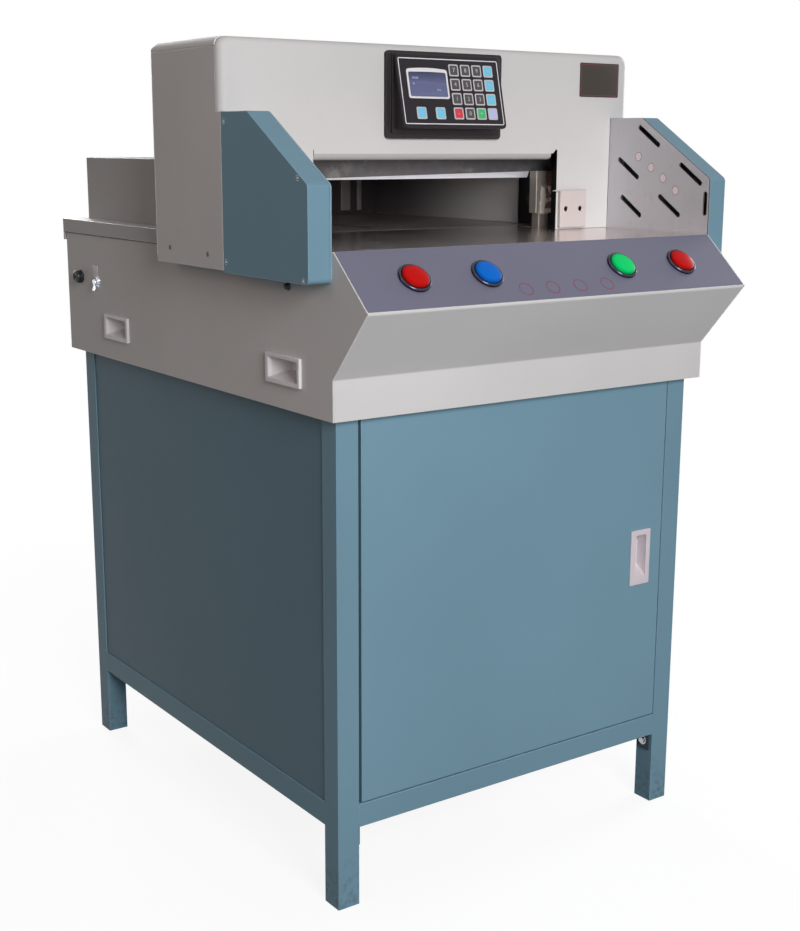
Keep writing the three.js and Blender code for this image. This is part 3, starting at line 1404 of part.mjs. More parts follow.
function sideLay() {
  const left = THROAT_SIDE + SIDE_LAY_FROM_EDGE;
  const right = left + SIDE_LAY_WIDTH;
  const back = HEAD_FRONT - SEAT;
  const front = back - SIDE_LAY_THICKNESS;
  const bottom = TABLE_HEIGHT + SIDE_LAY_LIFT;
  const top = bottom + SIDE_LAY_HEIGHT;
  const plate = block([left, right], [front, back], [bottom, top]);
  const tab = block([left - SIDE_LAY_TAB, left + WELD], [front, back], [top - SIDE_LAY_TAB_THICKNESS, top]);
  const middle = (left + right) / 2;
  const holes = SIDES.map(({ sign }) =>
    rod(
      "y",
      SIDE_LAY_HOLE_RADIUS,
      [middle + (sign * SIDE_LAY_HOLE_SPACING) / 2, (bottom + top) / 2],
      front - OVERRUN,
      (front + back) / 2,
      SMALL_SIDES,
    ),
  );
  return cut(join(plate, tab), ...holes);
}

const mechanism = assembly(
  piece("machine_frame", machineFrame(), castIron),
  piece("knife_carrier", knifeCarrier(), castIron),
  piece("knife_blade", knifeBlade(), polishedSteel),
  piece("pull_rod", pullRod(), brushedSteel),
  piece("crank_wheel", crankWheel(), castIron),
  piece("drive_motor", driveMotor(), castIron),
  piece("clamp_beam", clampBeam(), castIron),
  piece("back_gauge", backGauge(), brushedSteel),
  piece("lead_screw", leadScrew, brushedSteel),
  piece("gauge_motor", gaugeMotor(), blackPlastic),
  piece("side_lay", sideLay(), whitePlastic),
);

const machine = assembly(stand, door, body, fittings, buttonPanel, head, guards, consoleUnit, mechanism);
machine.name = "paper_cutter";

export default machine;
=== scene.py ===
"""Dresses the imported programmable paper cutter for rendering.

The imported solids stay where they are: here their edges are broken and they get their paint,
plating and plastic. Push buttons, switch, gland, keys, display, screws and prints are modelled
over them. The scene, its finishes and its studio are in metres, the pieces' own classes in
millimetres. The floor is at zero and the operator at -Y.
"""

import logging
import math
from collections.abc import Iterable, Sequence
from dataclasses import dataclass
from enum import Enum
from functools import cached_property

import bmesh
import bpy
from mathutils import Matrix, Vector


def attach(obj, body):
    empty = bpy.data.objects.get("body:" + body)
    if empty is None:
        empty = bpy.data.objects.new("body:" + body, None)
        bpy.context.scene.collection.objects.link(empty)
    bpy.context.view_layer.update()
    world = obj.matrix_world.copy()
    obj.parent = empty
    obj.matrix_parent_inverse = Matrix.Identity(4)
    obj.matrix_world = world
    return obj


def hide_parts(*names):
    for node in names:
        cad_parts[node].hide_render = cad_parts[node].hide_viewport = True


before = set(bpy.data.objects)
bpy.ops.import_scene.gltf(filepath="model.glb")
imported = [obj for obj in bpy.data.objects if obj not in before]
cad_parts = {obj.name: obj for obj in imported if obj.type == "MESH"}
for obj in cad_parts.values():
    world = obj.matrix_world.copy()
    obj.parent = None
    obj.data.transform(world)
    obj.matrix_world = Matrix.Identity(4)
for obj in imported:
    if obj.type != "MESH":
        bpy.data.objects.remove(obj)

MM = 0.001
LOG = logging.getLogger("paper_cutter")

Colour = tuple[float, float, float, float]
Point = tuple[float, float, float]
Outline = tuple[tuple[float, float], ...]

WHITE: Colour = (1.0, 1.0, 1.0, 1.0)
EVEN: Point = (1.0, 1.0, 1.0)
SIDES = {"left": -1.0, "right": 1.0}


class Slot(Enum):
    """The record's material slots; each new piece is handed one, which mount does not use."""

    GREY_PAINT = "grey_paint"
    PANEL_PAINT = "panel_paint"
    WHITE_PLASTIC = "white_plastic"
    BLACK_PLASTIC = "black_plastic"
    BLACK_BOARD = "black_board"
    CHROME = "chrome"
    BRUSHED_STEEL = "brushed_steel"
    RED_PLASTIC = "red_plastic"
    BLUE_PLASTIC = "blue_plastic"
    GREEN_PLASTIC = "green_plastic"
    SCREEN = "screen"


class Axis(Enum):
    """The machine's axes: X to the right, Y to the rear and Z up."""

    X = 0
    Y = 1
    Z = 2


def srgb(red: float, green: float, blue: float) -> Colour:
    """Turns display values of 0 to 255 into a linear colour.

    Args:
        red: Red as displayed.
        green: Green as displayed.
        blue: Blue as displayed.

    Returns:
        The linear colour, opaque.
    """
    shares = [value / 255 for value in (red, green, blue)]
    linear = [s / 12.92 if s <= 0.04045 else ((s + 0.055) / 1.055) ** 2.4 for s in shares]
    return (linear[0], linear[1], linear[2], 1.0)


def shade(colour: Colour, by: float) -> Colour:
    """Makes a colour lighter or darker.

    Args:
        colour: The linear colour.
        by: What its red, green and blue are multiplied by.

    Returns:
        The new colour, opaque.
    """
    return (min(colour[0] * by, 1.0), min(colour[1] * by, 1.0), min(colour[2] * by, 1.0), 1.0)


class Num:
    """A number that varies over a surface; its operators add Math nodes."""

    def __init__(self, shader: "Shader", socket: bpy.types.NodeSocket) -> None:
        """Wraps one output socket of a shader's tree."""
        self.shader = shader
        self.socket = socket

    def __add__(self, other: "Num | float") -> "Num":
        """This number plus another."""
        return self.shader.maths("ADD", self, other)

    __radd__ = __add__

    def __sub__(self, other: "Num | float") -> "Num":
        """This number less another."""
        return self.shader.maths("SUBTRACT", self, other)

    def __rsub__(self, other: float) -> "Num":
        """A plain number less this one."""
        return self.shader.maths("SUBTRACT", other, self)

    def __mul__(self, other: "Num | float") -> "Num":
        """This number times another."""
        return self.shader.maths("MULTIPLY", self, other)

    __rmul__ = __mul__

    def __truediv__(self, other: "Num | float") -> "Num":
        """This number divided by another."""
        return self.shader.maths("DIVIDE", self, other)

    def larger(self, other: "Num | float") -> "Num":
        """The larger of this number and another."""
        return self.shader.maths("MAXIMUM", self, other)

    def distance_to(self, other: float) -> "Num":
        """How far this number is from a plain one."""
        return self.shader.maths("ABSOLUTE", self - other, 0.0)

    def between(self, low: float, high: float) -> "Num":
        """A soft mask from this number.

        Args:
            low: Where the mask is 0.
            high: Where the mask is 1; it may be the smaller of the two.

        Returns:
            The mask, from 0 to 1.
        """
        settings = {"interpolation_type": "SMOOTHSTEP"}
        sockets = {"Value": self, "From Min": low, "From Max": high}
        return Num(self.shader, self.shader.node("MapRange", settings, sockets).outputs[0])

    def inside(self, edge: float) -> "Num":
        """A mask that is 1 under an edge, with its soft step just inside the edge."""
        return self.between(edge - 0.0006, edge - 0.0014)


class Tree:
    """A node tree while it is being made."""

    prefix: str = ""

    def __init__(self, tree: bpy.types.NodeTree) -> None:
        """Starts with an empty tree."""
        self.tree = tree
        self.tree.nodes.clear()

    def node(
        self,
        kind: str,
        settings: dict[str, object] | None = None,
        sockets: dict[str | int, object] | None = None,
    ) -> bpy.types.Node:
        """Adds one node.

        Args:
            kind: The node's type, without the tree's prefix.
            settings: The node's own settings.
            sockets: Values or links of its inputs, by name or number.

        Returns:
            The node.
        """
        made = self.tree.nodes.new(self.prefix + kind)
        for key, value in (settings or {}).items():
            setattr(made, key, value)
        for key, value in (sockets or {}).items():
            self.feed(made.inputs[key], value)
        return made

    def feed(self, socket: bpy.types.NodeSocket, value: object) -> None:
        """Links or sets one input.

        Args:
            socket: The input.
            value: A number that varies, an output socket, or a plain value.
        """
        source = value.socket if isinstance(value, Num) else value
        if isinstance(source, bpy.types.NodeSocket):
            self.tree.links.new(source, socket)
        else:
            socket.default_value = source


class Shader(Tree):
    """The tree of a material or a world, which knows nothing but Object coordinates."""

    prefix: str = "ShaderNode"

    def __init__(self, owner: bpy.types.Material | bpy.types.World) -> None:
        """Starts with the owner's tree, emptied."""
        owner.use_nodes = True
        super().__init__(owner.node_tree)
        self.owner = owner

    @cached_property
    def place(self) -> bpy.types.NodeSocket:
        """The place on the object, in metres."""
        return self.node("TexCoord").outputs["Object"]

    def maths(self, operation: str, first: Num | float, second: Num | float) -> Num:
        """Adds a Math node.

        Args:
            operation: Its operation.
            first: Its first value.
            second: Its second value.

        Returns:
            Its result.
        """
        made = self.node("Math", {"operation": operation}, {0: first, 1: second})
        return Num(self, made.outputs[0])

    def along(self, axis: Axis) -> Num:
        """The place along an axis, in metres."""
        made = self.node("SeparateXYZ", None, {0: self.place})
        return Num(self, made.outputs[axis.value])

    def stretched(self, by: Point) -> bpy.types.NodeSocket:
        """The place, multiplied along each axis."""
        made = self.node("VectorMath", {"operation": "MULTIPLY"}, {0: self.place, 1: by})
        return made.outputs[0]

    def away_from(self, centre: Point) -> Num:
        """The distance from a point, in metres."""
        made = self.node("VectorMath", {"operation": "DISTANCE"}, {0: self.place, 1: centre})
        return Num(self, made.outputs["Value"])

    def seen(self) -> Num:
        """1 for what is seen, also in metal and through glass, and 0 for what only lights."""
        path = self.node("LightPath").outputs
        seen = Num(self, path["Is Camera Ray"]).larger(Num(self, path["Is Glossy Ray"]))
        return seen.larger(Num(self, path["Is Transmission Ray"]))

    def noise(
        self,
        scale: float,
        detail: float = 2.0,
        roughness: float = 0.5,
        stretch: Point = EVEN,
        swirl: float = 0.0,
    ) -> Num:
        """Adds a noise pattern.

        Args:
            scale: Its lumps to a metre, about.
            detail: How many finer layers it has.
            roughness: How strong the finer layers are.
            stretch: A factor for the scale along each axis.
            swirl: How much the pattern is distorted.

        Returns:
            The noise, about 0.5 on average.
        """
        sockets = {
            "Vector": self.stretched(stretch),
            "Scale": scale,
            "Detail": detail,
            "Roughness": roughness,
            "Distortion": swirl,
        }
        return Num(self, self.node("TexNoise", None, sockets).outputs[0])

    def cells(self, scale: float, feature: str = "F1") -> Num:
        """Adds a cell pattern.

        Args:
            scale: Cells to a metre.
            feature: The distance that it gives, as the Voronoi node names it.

        Returns:
            The distance, in cells.
        """
        sockets = {"Vector": self.stretched(EVEN), "Scale": scale}
        made = self.node("TexVoronoi", {"feature": feature}, sockets)
        return Num(self, made.outputs["Distance"])

    def blend(
        self,
        factor: Num | float,
        under: Colour | bpy.types.NodeSocket,
        over: Colour | bpy.types.NodeSocket,
    ) -> bpy.types.NodeSocket:
        """Mixes two colours.

        Args:
            factor: How much of the second one shows.
            under: The first colour.
            over: The second colour.

        Returns:
            The mixed colour.
        """
        settings = {"data_type": "RGBA", "blend_type": "MIX", "clamp_factor": True}
        return self.node("Mix", settings, {0: factor, 6: under, 7: over}).outputs[2]

    def surface(
        self,
        colour: Colour | bpy.types.NodeSocket,
        roughness: Num | float,
        relief: Num | None = None,
        metallic: Num | float = 0.0,
        coat: float = 0.0,
        coat_roughness: float = 0.1,
        shine: float = 0.5,
        glow: Colour | bpy.types.NodeSocket | None = None,
        glow_strength: float = 0.0,
    ) -> bpy.types.Material:
        """Ends the tree with a Principled shader.

        Args:
            colour: The base colour.
            roughness: The roughness.
            relief: The height of the surface, in metres.
            metallic: 1 where it is bare metal.
            coat: The weight of a clear coat.
            coat_roughness: The roughness of the clear coat.
            shine: The specular level; 0.5 is plain plastic.
            glow: The colour of the light that it gives off.
            glow_strength: The strength of that light.

        Returns:
            The finished material.
        """
        sockets: dict[str | int, object] = {
            "Base Color": colour,
            "Roughness": roughness,
            "Metallic": metallic,
            "Coat Weight": coat,
            "Coat Roughness": coat_roughness,
            "Specular IOR Level": shine,
        }
        if relief is not None:
            bumps = self.node("Bump", None, {"Strength": 1.0, "Distance": 1.0, "Height": relief})
            sockets["Normal"] = bumps.outputs[0]
        if glow is not None:
            sockets["Emission Color"] = glow
            sockets["Emission Strength"] = glow_strength
        shader = self.node("BsdfPrincipled", None, sockets)
        self.node("OutputMaterial", None, {"Surface": shader.outputs[0]})
        return self.owner


@dataclass(frozen=True)
class Finish:
    """A named surface finish; each kind says how its material is made."""

    name: str

    def material(self) -> bpy.types.Material:
        """The finish's material, made the first time that it is asked for."""
        known = bpy.data.materials.get(self.name)
        return known or self.make(Shader(bpy.data.materials.new(self.name)))

    def make(self, s: Shader) -> bpy.types.Material:
        """Makes the material; each kind of finish has its own way."""
        raise NotImplementedError(self.name)


@dataclass(frozen=True)
class PowderCoat(Finish):
    """Baked powder paint on sheet steel, with orange peel, flecks and light handling marks.

    Marks are placed in metres: scuffs from the floor to foot_height, painted shade in a band under
    the lip between the lip's ends, and in the hollow, which has a half width, a top and a rear
    end, painted light near its opening that turns to painted shade deeper in.
    """

    colour: Colour
    roughness: float = 0.4
    peel: float = 0.000012
    dents: float = 0.0
    scuffed_feet: float = 0.0
    painted_shade_under_lip: float = 0.0
    hollow: Point | None = None
    foot_height: float = 0.11
    lip_end: tuple[float, float] = (0.2462, 0.2448)
    lip_front: tuple[float, float] = (-0.15, -0.16)
    hollow_depth: tuple[float, float] = (0.03, 0.42)

    def make(self, s: Shader) -> bpy.types.Material:
        """Makes the paint's material.

        Args:
            s: The empty tree.

        Returns:
            The material.
        """
        cloud = s.noise(2.3, 3.0).between(0.3, 0.7)
        blotch = s.noise(34.0, 4.0, 0.6)
        fleck = s.noise(1500.0, 1.0).between(0.6, 0.75)
        level = s.noise(1.0, 2.0, 0.5, (16.0, 16.0, 1100.0)).between(0.69, 0.74)
        upright = s.noise(1.0, 2.0, 0.5, (900.0, 900.0, 11.0)).between(0.7, 0.75)
        handled = s.noise(7.0, 2.0).between(0.5, 0.68)
        marks = (level + upright) * handled
        colour = s.blend(cloud, shade(self.colour, 0.955), shade(self.colour, 1.035))
        colour = s.blend(blotch.between(0.55, 0.8) * 0.12, colour, shade(self.colour, 0.86))
        colour = s.blend(fleck * 0.22, colour, shade(self.colour, 1.3))
        colour = s.blend(marks * 0.3, colour, shade(self.colour, 1.4))
        colour = self.scuffs_and_painted_shade(s, colour)
        rough = self.roughness + (blotch - 0.5) * 0.12 + marks * 0.15
        relief = s.noise(620.0, 2.0) * self.peel + marks * -0.000006
        if self.dents:
            relief = relief + s.noise(5.2, 1.0, 0.4, (1.0, 1.0, 0.8)) * self.dents
        return s.surface(colour, rough, relief, shine=0.07)

    def scuffs_and_painted_shade(self, s: Shader, colour: bpy.types.NodeSocket) -> bpy.types.NodeSocket:
        """Scuffs the feet, paints shade under the lip and light and shade in the hollow, if asked.

        Args:
            s: The tree.
            colour: The paint's colour.

        Returns:
            The colour with the scuffs and the painted light and shade over it.
        """
        if self.scuffed_feet:
            low = s.along(Axis.Z).between(self.foot_height, 0.0)
            scuffs = low * s.noise(90.0, 4.0, 0.65).between(0.44, 0.66)
            colour = s.blend(scuffs * self.scuffed_feet, colour, srgb(64, 62, 58))
        # Painted shade: a darker band under the lip, where the lip's bend turns away from the
        # light.
        if self.painted_shade_under_lip:
            under = s.along(Axis.Z).between(self.painted_shade_under_lip + 0.0005, self.painted_shade_under_lip - 0.001)
            middle = s.along(Axis.X).distance_to(0.0).between(*self.lip_end)
            ahead = s.along(Axis.Y).between(*self.lip_front)
            colour = s.blend(under * middle * ahead * 0.4, colour, srgb(118, 120, 118))
        # Painted light and shade inside the hollow: lighter near its opening, darker deeper in.
        if self.hollow:
            wide, top, back = self.hollow
            inside = s.along(Axis.X).distance_to(0.0).inside(wide)
            inside = inside * s.along(Axis.Z).inside(top)
            inside = inside * s.along(Axis.Y).inside(back)
            depth = s.along(Axis.Y).between(*self.hollow_depth)
            bare = s.blend(depth, shade(self.colour, 1.3), srgb(104, 100, 100))
            colour = s.blend(inside, colour, bare)
        return colour


@dataclass(frozen=True)
class WornEdge(Finish):
    """The broken edge of a painted sheet: thinner paint, rubbed bright in places."""

    colour: Colour
    wear: float = 0.55

    def make(self, s: Shader) -> bpy.types.Material:
        """Makes the edge's material.

        Args:
            s: The empty tree.

        Returns:
            The material.
        """
        thin = s.noise(22.0, 3.0)
        rubbed = s.noise(130.0, 4.0, 0.7).between(0.62, 0.7) * thin.between(0.45, 0.62)
        colour = s.blend(thin, shade(self.colour, 1.02), shade(self.colour, 1.24))
        colour = s.blend(rubbed * self.wear, colour, srgb(150, 148, 145))
        relief = rubbed * -0.00003
        rough, bare = 0.36 - rubbed * 0.08, rubbed * (self.wear * 0.8)
        return s.surface(colour, rough, relief, bare, shine=0.4)


@dataclass(frozen=True)
class PanelEnamel(Finish):
    """Violet-grey enamel of the button panel: satin, with a fine metallic fleck."""

    colour: Colour

    def make(self, s: Shader) -> bpy.types.Material:
        """Makes the enamel's material.

        Args:
            s: The empty tree.

        Returns:
            The material.
        """
        cloud = s.noise(3.1, 3.0).between(0.3, 0.7)
        fleck = s.cells(1900.0).between(0.28, 0.1)
        rubbed = s.noise(18.0, 4.0, 0.6).between(0.52, 0.75)
        wiped = s.noise(1.0, 3.0, 0.6, (9.0, 260.0, 260.0)).between(0.6, 0.78)
        colour = s.blend(cloud, shade(self.colour, 0.95), shade(self.colour, 1.05))
        colour = s.blend(fleck * 0.16, colour, shade(self.colour, 1.7))
        colour = s.blend(wiped * 0.12, colour, shade(self.colour, 1.3))
        rough = 0.36 + rubbed * 0.08 - wiped * 0.06
        relief = s.noise(820.0, 2.0) * 0.000007
        return s.surface(colour, rough, relief, 0.1, shine=0.2)


@dataclass(frozen=True)
class BrushedSteel(Finish):
    """Bare steel sheet with a fine grain along one axis and cloudy handling marks."""

    colour: Colour
    grain: Axis = Axis.Z
    roughness: float = 0.34
    depth: float = 0.000006
    bare: float = 1.0

    def make(self, s: Shader) -> bpy.types.Material:
        """Makes the steel's material.

        Args:
            s: The empty tree.

        Returns:
            The material.
        """
        stretch = tuple(14.0 if axis is self.grain else 1500.0 for axis in Axis)
        lines = s.noise(1.0, 3.0, 0.6, stretch)
        cloud = s.noise(6.5, 3.0, 0.55, swirl=0.6)
        prints = s.noise(42.0, 5.0, 0.68).between(0.56, 0.78)
        colour = s.blend(lines, shade(self.colour, 0.9), shade(self.colour, 1.08))
        colour = s.blend(cloud.between(0.35, 0.7) * 0.35, colour, shade(self.colour, 0.8))
        colour = s.blend(prints * 0.16, colour, srgb(118, 106, 98))
        rough = self.roughness + (lines - 0.5) * 0.14 + prints * 0.12
        return s.surface(colour, rough, lines * self.depth, self.bare)


@dataclass(frozen=True)
class PolishedTable(Finish):
    """Ground and polished steel of the table: rougher where the paper slides under the knife,
    and darker there as painted shade under the head.
    """

    colour: Colour
    dull_and_painted_shade_from: float = -0.033

    def make(self, s: Shader) -> bpy.types.Material:
        """Makes the table's material.

        Args:
            s: The empty tree.

        Returns:
            The material.
        """
        ground = s.noise(1.0, 3.0, 0.6, (10.0, 1700.0, 1700.0))
        smear = s.noise(9.0, 4.0, 0.6, swirl=0.8)
        slid = s.noise(1.0, 2.0, 0.6, (700.0, 5.0, 5.0)).between(0.66, 0.72)
        stain = s.noise(26.0, 5.0, 0.7).between(0.58, 0.8)
        # Painted shade: behind the knife the table is darkened, where the head shades it; it is
        # also rougher there.
        rear = s.along(Axis.Y).between(self.dull_and_painted_shade_from - 0.006, self.dull_and_painted_shade_from + 0.006)
        colour = s.blend(ground, shade(self.colour, 0.93), shade(self.colour, 1.06))
        colour = s.blend(rear * 0.7, colour, shade(self.colour, 0.4))
        colour = s.blend(stain * 0.18, colour, srgb(112, 92, 80))
        rough = 0.15 + smear * 0.1 + rear * 0.16 + stain * 0.12 + slid * 0.06
        relief = ground * 0.0000015 - slid * 0.000005
        return s.surface(colour, rough, relief, 1.0 - stain * 0.25)


@dataclass(frozen=True)
class GroundBlade(Finish):
    """Knife steel with painted reflections: a bright ground bevel, which also glows as painted
    light, mirrors the bright table, and a dark flat side mirrors the dark inside of the head.
    """

    bevel_top: float = 1.1152

    def make(self, s: Shader) -> bpy.types.Material:
        """Makes the blade's material.

        Args:
            s: The empty tree.

        Returns:
            The material.
        """
        strokes = s.noise(1.0, 3.0, 0.55, (1500.0, 60.0, 60.0))
        film = s.noise(14.0, 4.0, 0.6)
        flat = s.along(Axis.Z).between(self.bevel_top - 0.0002, self.bevel_top + 0.0004)
        # Painted reflections: the bevel is painted bright and the flat side dark.
        bright = s.blend(strokes, srgb(226, 230, 240), srgb(248, 250, 254))
        dark = s.blend(film.between(0.4, 0.7), srgb(116, 112, 116), srgb(150, 134, 126))
        colour = s.blend(flat, bright, dark)
        # Painted light: the bevel glows.
        lit = s.blend(flat, bright, srgb(0, 0, 0))
        rough = 0.42 - flat * 0.06 + strokes * 0.1
        bare = 0.25 + flat * 0.7
        return s.surface(colour, rough, strokes * 0.000002, bare, glow=lit, glow_strength=0.3)


@dataclass(frozen=True)
class Plating(Finish):
    """Bright plating, with a trace of polishing marks and fingerprints."""

    colour: Colour
    roughness: float = 0.08

    def make(self, s: Shader) -> bpy.types.Material:
        """Makes the plating's material.

        Args:
            s: The empty tree.

        Returns:
            The material.
        """
        wave = s.noise(45.0, 2.0)
        prints = s.noise(240.0, 4.0, 0.7).between(0.55, 0.8)
        colour = s.blend(wave, shade(self.colour, 0.94), shade(self.colour, 1.05))
        colour = s.blend(prints * 0.15, colour, shade(self.colour, 0.6))
        rough = self.roughness + prints * 0.12 + wave * 0.02
        return s.surface(colour, rough, wave * 0.00002, 1.0)


@dataclass(frozen=True)
class Moulding(Finish):
    """Moulded plastic with a spark-eroded grain, rubbed smoother in places."""

    colour: Colour
    roughness: float = 0.42
    grain: float = 0.00001
    shine: float = 0.4

    def make(self, s: Shader) -> bpy.types.Material:
        """Makes the plastic's material.

        Args:
            s: The empty tree.

        Returns:
            The material.
        """
        flow = s.noise(16.0, 3.0)
        rubbed = s.noise(48.0, 3.0, 0.6).between(0.52, 0.72)
        pits = s.cells(1300.0)
        colour = s.blend(flow, shade(self.colour, 0.94), shade(self.colour, 1.06))
        colour = s.blend(rubbed * 0.15, colour, shade(self.colour, 1.18))
        rough = self.roughness + (flow - 0.5) * 0.08 - rubbed * 0.09
        return s.surface(colour, rough, pits * self.grain, shine=self.shine)


@dataclass(frozen=True)
class LitLens(Finish):
    """The clear coloured cap of a push button, brighter towards its middle, with fine rings."""

    colour: Colour
    centre: Point
    radius: float

    def make(self, s: Shader) -> bpy.types.Material:
        """Makes the lens's material.

        Args:
            s: The empty tree.

        Returns:
            The material.
        """
        out = s.away_from(self.centre) / self.radius
        rim = out.between(0.72, 1.04)
        haze = s.noise(170.0, 3.0, 0.6)
        rings = s.maths("SINE", out * 190.0, 0.0)
        colour = s.blend(rim, self.colour, shade(self.colour, 0.52))
        colour = s.blend(haze.between(0.5, 0.8) * 0.14, colour, shade(self.colour, 1.5))
        rough = 0.3 + haze * 0.12
        relief = rings * 0.000006 * (1.0 - rim)
        return s.surface(colour, rough, relief, shine=0.06, glow=colour, glow_strength=0.05)


@dataclass(frozen=True)
class CastIron(Finish):
    """Dark casting: sand texture, oil film and machined sheen where it has been rubbed."""

    colour: Colour
    machined: float = 0.35

    def make(self, s: Shader) -> bpy.types.Material:
        """Makes the casting's material.

        Args:
            s: The empty tree.

        Returns:
            The material.
        """
        sand = s.cells(520.0, "SMOOTH_F1")
        lumps = s.noise(60.0, 4.0, 0.6)
        oil = s.noise(9.0, 4.0, 0.6).between(0.42, 0.66)
        bright = s.noise(24.0, 3.0, 0.6).between(0.55, 0.72) * self.machined
        colour = s.blend(lumps, shade(self.colour, 0.75), shade(self.colour, 1.3))
        colour = s.blend(oil * 0.4, colour, srgb(44, 34, 28))
        colour = s.blend(bright, colour, srgb(150, 148, 146))
        rough = 0.58 - oil * 0.2 - bright * 0.2
        relief = sand * 0.00012 + lumps * 0.00015
        return s.surface(colour, rough, relief, bright * 0.8 + 0.1)


@dataclass(frozen=True)
class GreasedRod(Finish):
    """Machined steel of the pull rod, with grease on its block and rust at the block's right."""

    colour: Colour
    middle: float = 0.282
    low: float = 1.028

    def make(self, s: Shader) -> bpy.types.Material:
        """Makes the greased steel's material.

        Args:
            s: The empty tree.

        Returns:
            The material.
        """
        lines = s.noise(1.0, 3.0, 0.6, (600.0, 600.0, 20.0))
        cloud = s.noise(46.0, 4.0, 0.62, swirl=1.2)
        across = s.along(Axis.X) + (cloud - 0.5) * 0.012
        up = s.along(Axis.Z) + (cloud - 0.5) * 0.02
        block = up.between(self.low - 0.001, self.low + 0.002)
        grease = across.between(self.middle - 0.007, self.middle - 0.004) * block
        grease = grease * up.between(self.low + 0.05, self.low + 0.042)
        rust = across.between(self.middle + 0.004, self.middle + 0.008)
        rust = rust * up.between(self.low + 0.006, self.low + 0.012) * cloud.between(0.4, 0.5)
        spots = s.noise(64.0, 4.0, 0.7, (1.0, 1.0, 0.35)).between(0.62, 0.7)
        rust = rust.larger(spots)
        colour = s.blend(lines, shade(self.colour, 0.8), shade(self.colour, 1.1))
        colour = s.blend(grease, colour, srgb(252, 242, 230))
        colour = s.blend(rust * block * 0.85, colour, srgb(112, 76, 56))
        rough = 0.32 + grease * 0.25 + rust * 0.3
        relief = grease * cloud * 0.0012 + lines * 0.00001
        return s.surface(colour, rough, relief, 0.4 - grease.larger(rust) * 0.35)


@dataclass(frozen=True)
class DisplayGlass(Finish):
    """The window of the display: blue-violet liquid crystal with a fine dot grid."""

    lit: Colour
    dark: Colour
    darker_at: tuple[float, float] = (1.236, 1.262)
    dot: float = 0.0006

    def make(self, s: Shader) -> bpy.types.Material:
        """Makes the window's material.

        Args:
            s: The empty tree.

        Returns:
            The material.
        """
        cloud = s.noise(24.0, 2.0)
        top = s.along(Axis.Z).between(*self.darker_at)
        columns = s.maths("SINE", s.along(Axis.X) * (math.tau / self.dot), 0.0)
        rows = s.maths("SINE", s.along(Axis.Z) * (math.tau / self.dot), 0.0)
        dots = (columns * rows).between(0.1, 0.8)
        bands = s.noise(1.0, 2.0, 0.5, (10.0, 10.0, 170.0)).between(0.5, 0.72)
        colour = s.blend(top * 0.75 + cloud * 0.2, self.lit, self.dark)
        colour = s.blend(bands * 0.2, colour, shade(self.lit, 1.7))
        colour = s.blend(dots * 0.1, colour, shade(self.lit, 1.4))
        rough = 0.14 + cloud * 0.06
        return s.surface(
            colour,
            rough,
            coat=0.15,
            coat_roughness=0.05,
            shine=0.2,
            glow=colour,
            glow_strength=0.06,
        )


@dataclass(frozen=True)
class PrintedInk(Finish):
    """Screen-printed ink: even, a little broken up, and slightly proud of what it lies on."""

    colour: Colour
    roughness: float = 0.45

    def make(self, s: Shader) -> bpy.types.Material:
        """Makes the ink's material.

        Args:
            s: The empty tree.

        Returns:
            The material.
        """
        mesh = s.noise(900.0, 3.0, 0.7)
        patch = s.noise(65.0, 3.0)
        colour = s.blend(mesh.between(0.5, 0.8) * 0.3, self.colour, shade(self.colour, 0.82))
        colour = s.blend(patch.between(0.5, 0.8) * 0.15, colour, shade(self.colour, 1.12))
        rough = self.roughness + (mesh - 0.5) * 0.15
        return s.surface(colour, rough, mesh * 0.000006, shine=0.3)


